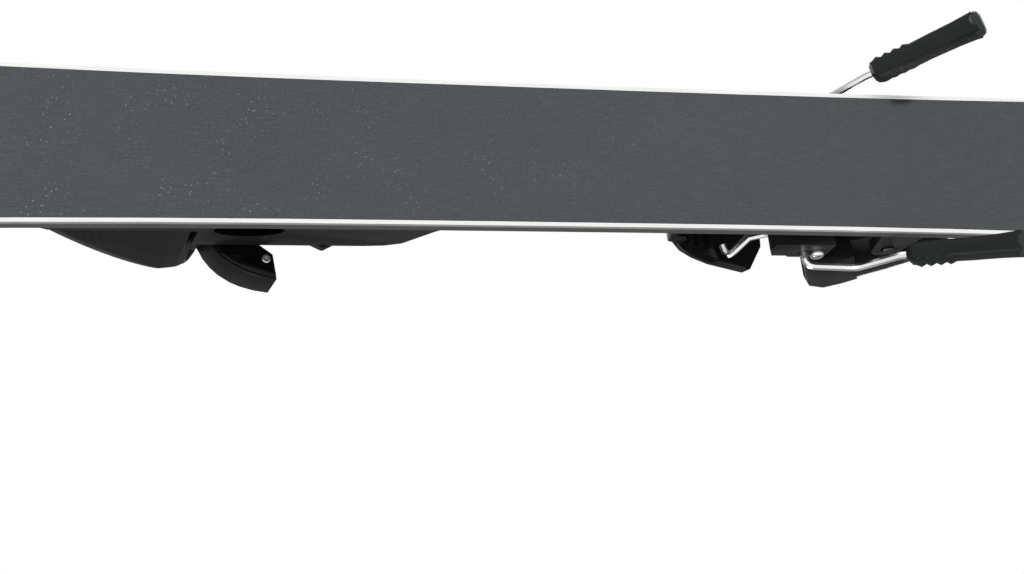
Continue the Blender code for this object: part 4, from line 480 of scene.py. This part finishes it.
def smooth_group():
    """Node group that smooths faces and keeps edges sharp past an angle."""
    group = bpy.data.node_groups.new("smooth_by_angle", "GeometryNodeTree")
    group.interface.new_socket("Mesh", in_out="INPUT", socket_type="NodeSocketGeometry")
    group.interface.new_socket("Angle", in_out="INPUT", socket_type="NodeSocketFloat")
    group.interface.new_socket("Mesh", in_out="OUTPUT", socket_type="NodeSocketGeometry")
    source = group.nodes.new("NodeGroupInput")
    sink = group.nodes.new("NodeGroupOutput")
    weld = group.nodes.new("GeometryNodeMergeByDistance")
    weld.inputs["Distance"].default_value = WELD_DISTANCE
    faces = group.nodes.new("GeometryNodeSetShadeSmooth")
    edges = group.nodes.new("GeometryNodeSetShadeSmooth")
    edges.domain = "EDGE"
    edges.inputs["Shade Smooth"].default_value = False
    angle = group.nodes.new("GeometryNodeInputMeshEdgeAngle")
    sharp = group.nodes.new("FunctionNodeCompare")
    sharp.operation = "GREATER_THAN"
    links = group.links
    links.new(source.outputs["Mesh"], weld.inputs["Geometry"])
    links.new(weld.outputs["Geometry"], faces.inputs["Geometry"])
    links.new(faces.outputs["Geometry"], edges.inputs["Geometry"])
    links.new(angle.outputs["Unsigned Angle"], sharp.inputs["A"])
    links.new(source.outputs["Angle"], sharp.inputs["B"])
    links.new(sharp.outputs["Result"], edges.inputs["Selection"])
    links.new(edges.outputs["Geometry"], sink.inputs["Mesh"])
    return group


def smooth(obj):
    """Shades a piece smooth up to the sharp angle."""
    modifier = obj.modifiers.new("Smooth", "NODES")
    modifier.node_group = SMOOTH_GROUP
    modifier[SMOOTH_GROUP.interface.items_tree["Angle"].identifier] = radians(SMOOTH_ANGLE_DEG)


def smooth_nodes():
    """Rounds the edges of moulded nodes, lets the flowing ones flow, and shades all smooth."""
    for name, obj in frame["nodes"].items():
        if name in FLOWING:
            voxel, rounds, kept = FLOWING[name]
            remesh = obj.modifiers.new("Remesh", "REMESH")
            remesh.mode = "VOXEL"
            remesh.voxel_size = voxel
            soften = obj.modifiers.new("Soften", "SMOOTH")
            soften.factor = SMOOTH_SHARE
            soften.iterations = rounds
            obj.modifiers.new("Thin", "DECIMATE").ratio = kept
        if name in SOFT_EDGES:
            obj.modifiers.new("Weld", "WELD").merge_threshold = WELD_DISTANCE
            edge = obj.modifiers.new("Edge", "BEVEL")
            edge.width = SOFT_EDGES[name]
            edge.segments = EDGE_STEPS
            edge.limit_method = "ANGLE"
            edge.angle_limit = radians(EDGE_ANGLE_DEG)
            edge.use_clamp_overlap = True
        smooth(obj)


def piece(name, bm, finishes, slot, body, look=None):
    """A closed piece of detail that rides on a body and takes a slot's finish."""
    bmesh.ops.recalc_face_normals(bm, faces=bm.faces)
    mesh = bpy.data.meshes.new(name)
    bm.to_mesh(mesh)
    bm.free()
    mesh.materials.append(look or finishes[slot])
    obj = bpy.data.objects.new(name, mesh)
    bpy.context.scene.collection.objects.link(obj)
    smooth(obj)
    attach(obj, body)
    return obj


def loft(bm, rings):
    """Closed solid through rings of points, capped at both ends."""
    loops = [[bm.verts.new(point) for point in ring] for ring in rings]
    count = len(loops[0])
    for low, high in zip(loops, loops[1:]):
        for i in range(count):
            j = (i + 1) % count
            bm.faces.new((low[i], low[j], high[j], high[i]))
    bm.faces.new(loops[0])
    bm.faces.new(loops[-1])


def circle(middle, side, other, radius, steps):
    """Points round a middle in the plane of two directions."""
    angles = [2 * pi * i / steps for i in range(steps)]
    return [middle + (side * cos(a) + other * sin(a)) * radius for a in angles]


def turned(bm, profile, base, direction, steps):
    """Solid turned about an axis from (radius, height) points, which end on the axis."""
    up = Vector(direction).normalized()
    side = up.orthogonal().normalized()
    other = up.cross(side)
    loft(bm, [
        circle(Vector(base) + up * height, side, other, max(radius, AXIS_RADIUS), steps)
        for radius, height in profile
    ])


def tube(bm, points, radius):
    """Round bar through points, with pinched ends."""
    points = [Vector(point) for point in points]
    last = len(points) - 1
    rings = []
    for i, point in enumerate(points):
        along = (points[min(i + 1, last)] - points[max(i - 1, 0)]).normalized()
        side = along.cross(Vector(OFF_AXIS)).normalized()
        size = radius * (PINCH if i in (0, last) else 1.0)
        rings.append(circle(point, side, along.cross(side), size, TUBE_SIDES))
    loft(bm, rings)


def touch(node, start, direction):
    """Point where a line first meets a CAD node, or None."""
    found, place, _, _ = frame["nodes"][node].ray_cast(Vector(start), Vector(direction).normalized())
    return place if found else None


def rib(bm, node, first, last, direction, radius, sink, samples=9):
    """Rounded rib that lies on a node between two points, dropped on it along a direction."""
    first, last, direction = Vector(first), Vector(last), Vector(direction).normalized()
    points = []
    for i in range(samples):
        place = touch(node, first.lerp(last, i / (samples - 1)), direction)
        if place is not None:
            points.append(place + direction * sink)
    if len(points) > 2:
        tube(bm, points, radius)


def scale_lines(lines, node, direction):
    """Short raised lines between pairs of places on a node."""
    bm = bmesh.new()
    for first, last in lines:
        rib(bm, node, first, last, direction, SCALE_RADIUS, 0.0, samples=4)
    return bm


def cross_ribs(node, rows):
    """Rounded ribs across a node's top, from rows of X and half length."""
    bm = bmesh.new()
    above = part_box(node)[1].z + DROP
    for x, half in rows:
        rib(bm, node, (x, -half, above), (x, half, above), DOWN, TREAD_RADIUS, RIB_SINK)
    return bm


def heel_point(x, z, y=0.0):
    """Place in the heel housing's own drawing, closed, taken to where it stands open."""
    turn = radians(HEEL_OPEN_DEG)
    return Vector((
        HEEL_AXLE[0] + x * cos(turn) - z * sin(turn), y, HEEL_AXLE[1] + x * sin(turn) + z * cos(turn)
    ))


def coil(name, finishes, body, node, start, end, radius, turns):
    """Spring wound from one point to another, which stands for the CAD spring."""
    start, end = Vector(start), Vector(end)
    along = (end - start).normalized()
    side = along.cross(Vector((0, 1, 0))).normalized()
    other = along.cross(side)
    count = int(turns * COIL_STEPS)
    points = []
    for i in range(count + 1):
        angle = 2 * pi * turns * i / count
        points.append(start.lerp(end, i / count) + (side * cos(angle) + other * sin(angle)) * radius)
    bm = bmesh.new()
    tube(bm, points, COIL_WIRE)
    obj = piece(name, bm, finishes, "spring_steel", body)
    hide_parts(node)
    return obj


def make_springs(finishes):
    """Springs wound between fixed ends, on which the plunger and the nuts on the adjusting screws press."""
    low, anchor, high = [(x, 0, TOE_AXIS_Z) for x in TOE_COIL_X]
    winding = (TOE_COIL_RADIUS, TOE_COIL_TURNS)
    rear = coil("toe_coil_rear", finishes, "ski", "toe_spring", anchor, low, *winding)
    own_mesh(rear)
    front = coil("toe_coil_front", finishes, "ski", "toe_spring", anchor, high, *winding)
    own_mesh(front)
    start, end, anchor = [heel_point(x, HEEL_SPRING_Z) for x in (*HEEL_COIL_X, HEEL_FIXED_X)]
    winding = (HEEL_COIL_RADIUS, HEEL_COIL_TURNS)
    spring = coil("heel_coil", finishes, "heel_housing", "heel_spring", start, end, *winding)
    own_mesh(spring)


def recess_shade_insert(side):
    """Thin gloss-black arch in one side's oval recess: a dark insert that paints the recess's shade."""
    rings = []
    for half_length, half_height, y in SHADE_INSERT_RINGS:
        arch = []
        for i in range(SHADE_INSERT_STEPS + 1):
            turn = pi * i / SHADE_INSERT_STEPS
            z = max(RECESS_CENTRE[1] + half_height * sin(turn), RECESS_LOW_Z)
            foot = SHADE_INSERT_FOOT if i in (0, SHADE_INSERT_STEPS) else 0
            arch.append((RECESS_CENTRE[0] + half_length * cos(turn), side * y, z - foot))
        rings.append(arch)
    bm = bmesh.new()
    loft(bm, rings)
    return bm


def make_toe_details(finishes):
    """Dark inserts that paint shade into the recesses, glides of the boot rest, scale lines of the window,
    and ribs at the nose's sides.
    """
    # Painted shade: a gloss-black insert darkens each side's recess
    for side, word in SIDES:
        piece(f"recess_shade_insert_{word}", recess_shade_insert(side), finishes, "gloss_black", "ski")

    bm = bmesh.new()
    rear, front = GLIDE_X
    above = 0.06
    for step in range(-GLIDES_BESIDE_MIDDLE, GLIDES_BESIDE_MIDDLE + 1):
        y = GLIDE_PITCH * step
        first, last = (rear, y, above), (front, y, above)
        rib(bm, "toe_rest_plate", first, last, DOWN, GLIDE_RADIUS, RIB_SINK, samples=5)
    piece("rest_plate_glides", bm, finishes, "gloss_black", "toe_rest_plate")

    begin, long, short = TOE_SCALE_Y
    above = 0.09
    lines = []
    for side, _ in SIDES:
        for step in range(-TOE_SCALE_LINES, TOE_SCALE_LINES + 1):
            x = TOE_WINDOW_X + SCALE_PITCH * step
            reach = long if step % TOE_SCALE_LINES == 0 else short
            lines.append(((x, side * begin, above), (x, side * reach, above)))
    piece("toe_scale", scale_lines(lines, "toe_housing", DOWN), finishes, "topsheet", "ski")

    bm = bmesh.new()
    foot_z, head_z = NOSE_RIB_Z
    beside = 0.06
    for side, _ in SIDES:
        for step in range(NOSE_RIBS):
            x = NOSE_RIB_X - NOSE_RIB_PITCH * step
            foot = (x, side * beside, foot_z)
            head = (x - NOSE_RIB_LEAN, side * beside, head_z + NOSE_RIB_RISE * step)
            rib(bm, "toe_housing", foot, head, (0, -side, 0), NOSE_RIB_RADIUS, RIB_SINK, samples=7)
    piece("nose_ribs", bm, finishes, "black_plastic", "ski")


def pad_cap(side):
    """Rounded cap over the end of one side's brake pad, fuller on its outer side."""
    start, end = Vector(PAD_START), Vector(PAD_END)
    direction = (end - start).normalized()
    across = Vector((-direction.z, 0, direction.x)).normalized()
    outward = direction.cross(across).normalized()
    if outward.y < 0:
        outward = -outward
    tip = start + direction * PAD_LENGTH
    flip = Vector((1, side, 1))
    rings = []
    for past, share in CAP_RINGS:
        ring = []
        for i in range(CAP_STEPS):
            angle = 2 * pi * i / CAP_STEPS
            depth = cos(angle) * (CAP_INWARD if cos(angle) < 0 else CAP_OUTWARD)
            offset = (outward * depth + across * CAP_ACROSS * sin(angle)) * share
            ring.append((tip + direction * past + offset) * flip)
        rings.append(ring)
    bm = bmesh.new()
    loft(bm, rings)
    return bm


def make_heel_details(finishes):
    """Scale lines of the heel window, grips of the lever, treads of the pedal, caps of the pin and pads."""
    scuffed = moulded("scuffed_plastic", *SCUFFED_PLASTIC)
    turn = radians(HEEL_OPEN_DEG)
    inward = Vector((sin(turn), 0, -cos(turn)))
    begin, long, short = HEEL_SCALE_Y
    above = 0.06
    lines = []
    for side, _ in SIDES:
        for step in range(-HEEL_SCALE_LINES, HEEL_SCALE_LINES + 1):
            x = HEEL_WINDOW_X + SCALE_PITCH * step
            reach = long if step % HEEL_SCALE_LINES == 0 else short
            lines.append((heel_point(x, above, side * begin), heel_point(x, above, side * reach)))
    piece("heel_scale", scale_lines(lines, "heel_housing", inward), finishes, "topsheet", "heel_housing")

    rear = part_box("heel_lever")[0].x + GRIP_REAR
    rows = [
        (rear + GRIP_PITCH * step, GRIP_HALF - GRIP_CURVE * (GRIPS - 1 - step) ** 2) for step in range(GRIPS)
    ]
    piece("lever_grips", cross_ribs("heel_lever", rows), finishes, "black_plastic", "heel_lever")

    rows = [(TREAD_FRONT_X - TREAD_PITCH * step, TREAD_HALF - TREAD_TAPER * step) for step in range(TREADS)]
    piece("pedal_treads", cross_ribs("brake_pedal", rows), finishes, "black_plastic", "brake_pedal")

    x, y, z = CROSS_PIN
    for side, word in SIDES:
        bm = bmesh.new()
        turned(bm, PIN_DOME, (x, side * y, z), (0, side, 0), PIN_STEPS)
        piece(f"cross_pin_cap_{word}", bm, finishes, "bright_steel", "heel_carriage")
        piece(f"pad_cap_{word}", pad_cap(side), finishes, "pad_plastic", "brake_arms", scuffed)


def make_screw_shade_crosses(finishes):
    """Dark cross on each mounting screw's head, painted shade of the driver's seat in it."""
    bm = bmesh.new()
    for name in frame["nodes"]:
        if name.startswith(("toe_screw", "heel_screw")):
            low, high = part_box(name)
            middle = (low + high) / 2
            for dx, dy in ((1, 0), (0, 1)):
                bar = [
                    (middle.x + share * CROSS_HALF * dx, middle.y + share * CROSS_HALF * dy, high.z)
                    for share in (-1, -0.5, 0, 0.5, 1)
                ]
                tube(bm, bar, CROSS_RADIUS)
    piece("screw_crosses", bm, finishes, "dark_steel", "ski")


def stage_object(name, bm, material):
    """A floor or backdrop that the camera sees and that lights, shades and mirrors nothing."""
    mesh = bpy.data.meshes.new(name)
    bm.to_mesh(mesh)
    bm.free()
    mesh.materials.append(material)
    obj = bpy.data.objects.new(name, mesh)
    obj.visible_shadow = False
    obj.visible_diffuse = False
    obj.visible_glossy = False
    obj.visible_transmission = False
    bpy.context.scene.collection.objects.link(obj)
    return obj


def make_floor():
    """Pale floor under the ski, seen from above only."""
    look = Shader("floor", 0.6, Specular_IOR_Level=0.0)
    mottle = look.noise(3, detail=3)
    look.color(look.ramp(mottle, (0.3, (0.86, 0.86, 0.86)), (0.7, (0.90, 0.90, 0.90))))
    look.glow(FLOOR_GLOW)
    clear = look.add("ShaderNodeBsdfTransparent")
    side = look.add("ShaderNodeNewGeometry")
    choose = look.add("ShaderNodeMixShader")
    look.link(side.outputs["Backfacing"], choose.inputs[0])
    look.link(look.bsdf.outputs[0], choose.inputs[1])
    look.link(clear.outputs[0], choose.inputs[2])
    look.link(choose.outputs[0], look.tree.nodes["Material Output"].inputs["Surface"])
    bm = bmesh.new()
    bmesh.ops.create_grid(bm, x_segments=1, y_segments=1, size=FLOOR_SIZE)
    stage_object("floor", bm, look.material).location.z = cad_bounds[0].z - FLOOR_GAP


def make_backdrop():
    """White all round, which only the camera sees."""
    look = Shader("backdrop", 1.0, Specular_IOR_Level=0.0)
    look.color(look.ramp(look.noise(0.2, detail=1), (0.3, 0.0), (0.7, 0.0)))
    look.glow(BACKDROP_GLOW)
    bm = bmesh.new()
    bmesh.ops.create_icosphere(bm, subdivisions=4, radius=BACKDROP_RADIUS)
    stage_object("backdrop", bm, look.material)


def make_world():
    """Soft white light from all round, stronger from below, where the photograph's camera is."""
    world = bpy.data.worlds.new("studio")
    world.use_nodes = True
    tree = world.node_tree
    background = tree.nodes["Background"]
    direction = tree.nodes.new("ShaderNodeTexCoord")
    parts = tree.nodes.new("ShaderNodeSeparateXYZ")
    height = tree.nodes.new("ShaderNodeMapRange")
    height.inputs["From Min"].default_value, height.inputs["From Max"].default_value = LIGHT_CHANGE
    height.inputs["To Min"].default_value = LIGHT_BELOW
    height.inputs["To Max"].default_value = LIGHT_ABOVE
    tree.links.new(direction.outputs["Generated"], parts.inputs["Vector"])
    tree.links.new(parts.outputs["Z"], height.inputs["Value"])
    tree.links.new(height.outputs["Result"], background.inputs["Strength"])
    background.inputs["Color"].default_value = (1.0, 1.0, 1.0, 1)
    bpy.context.scene.world = world


def make_lamps():
    """Square lamps that face the origin."""
    for name, place, size, power in LAMPS:
        data = bpy.data.lights.new(name, "AREA")
        data.size = size
        data.energy = power
        lamp = bpy.data.objects.new(name, data)
        lamp.location = place
        lamp.rotation_euler = Vector(place).to_track_quat("Z", "Y").to_euler()
        bpy.context.scene.collection.objects.link(lamp)


make_camera()
make_floor()
make_backdrop()
make_world()
make_lamps()
bpy.context.scene.view_settings.view_transform = "Standard"
SMOOTH_GROUP = smooth_group()
finishes = dress_nodes()
smooth_nodes()
make_toe_details(finishes)
make_heel_details(finishes)
make_screw_shade_crosses(finishes)
make_springs(finishes)
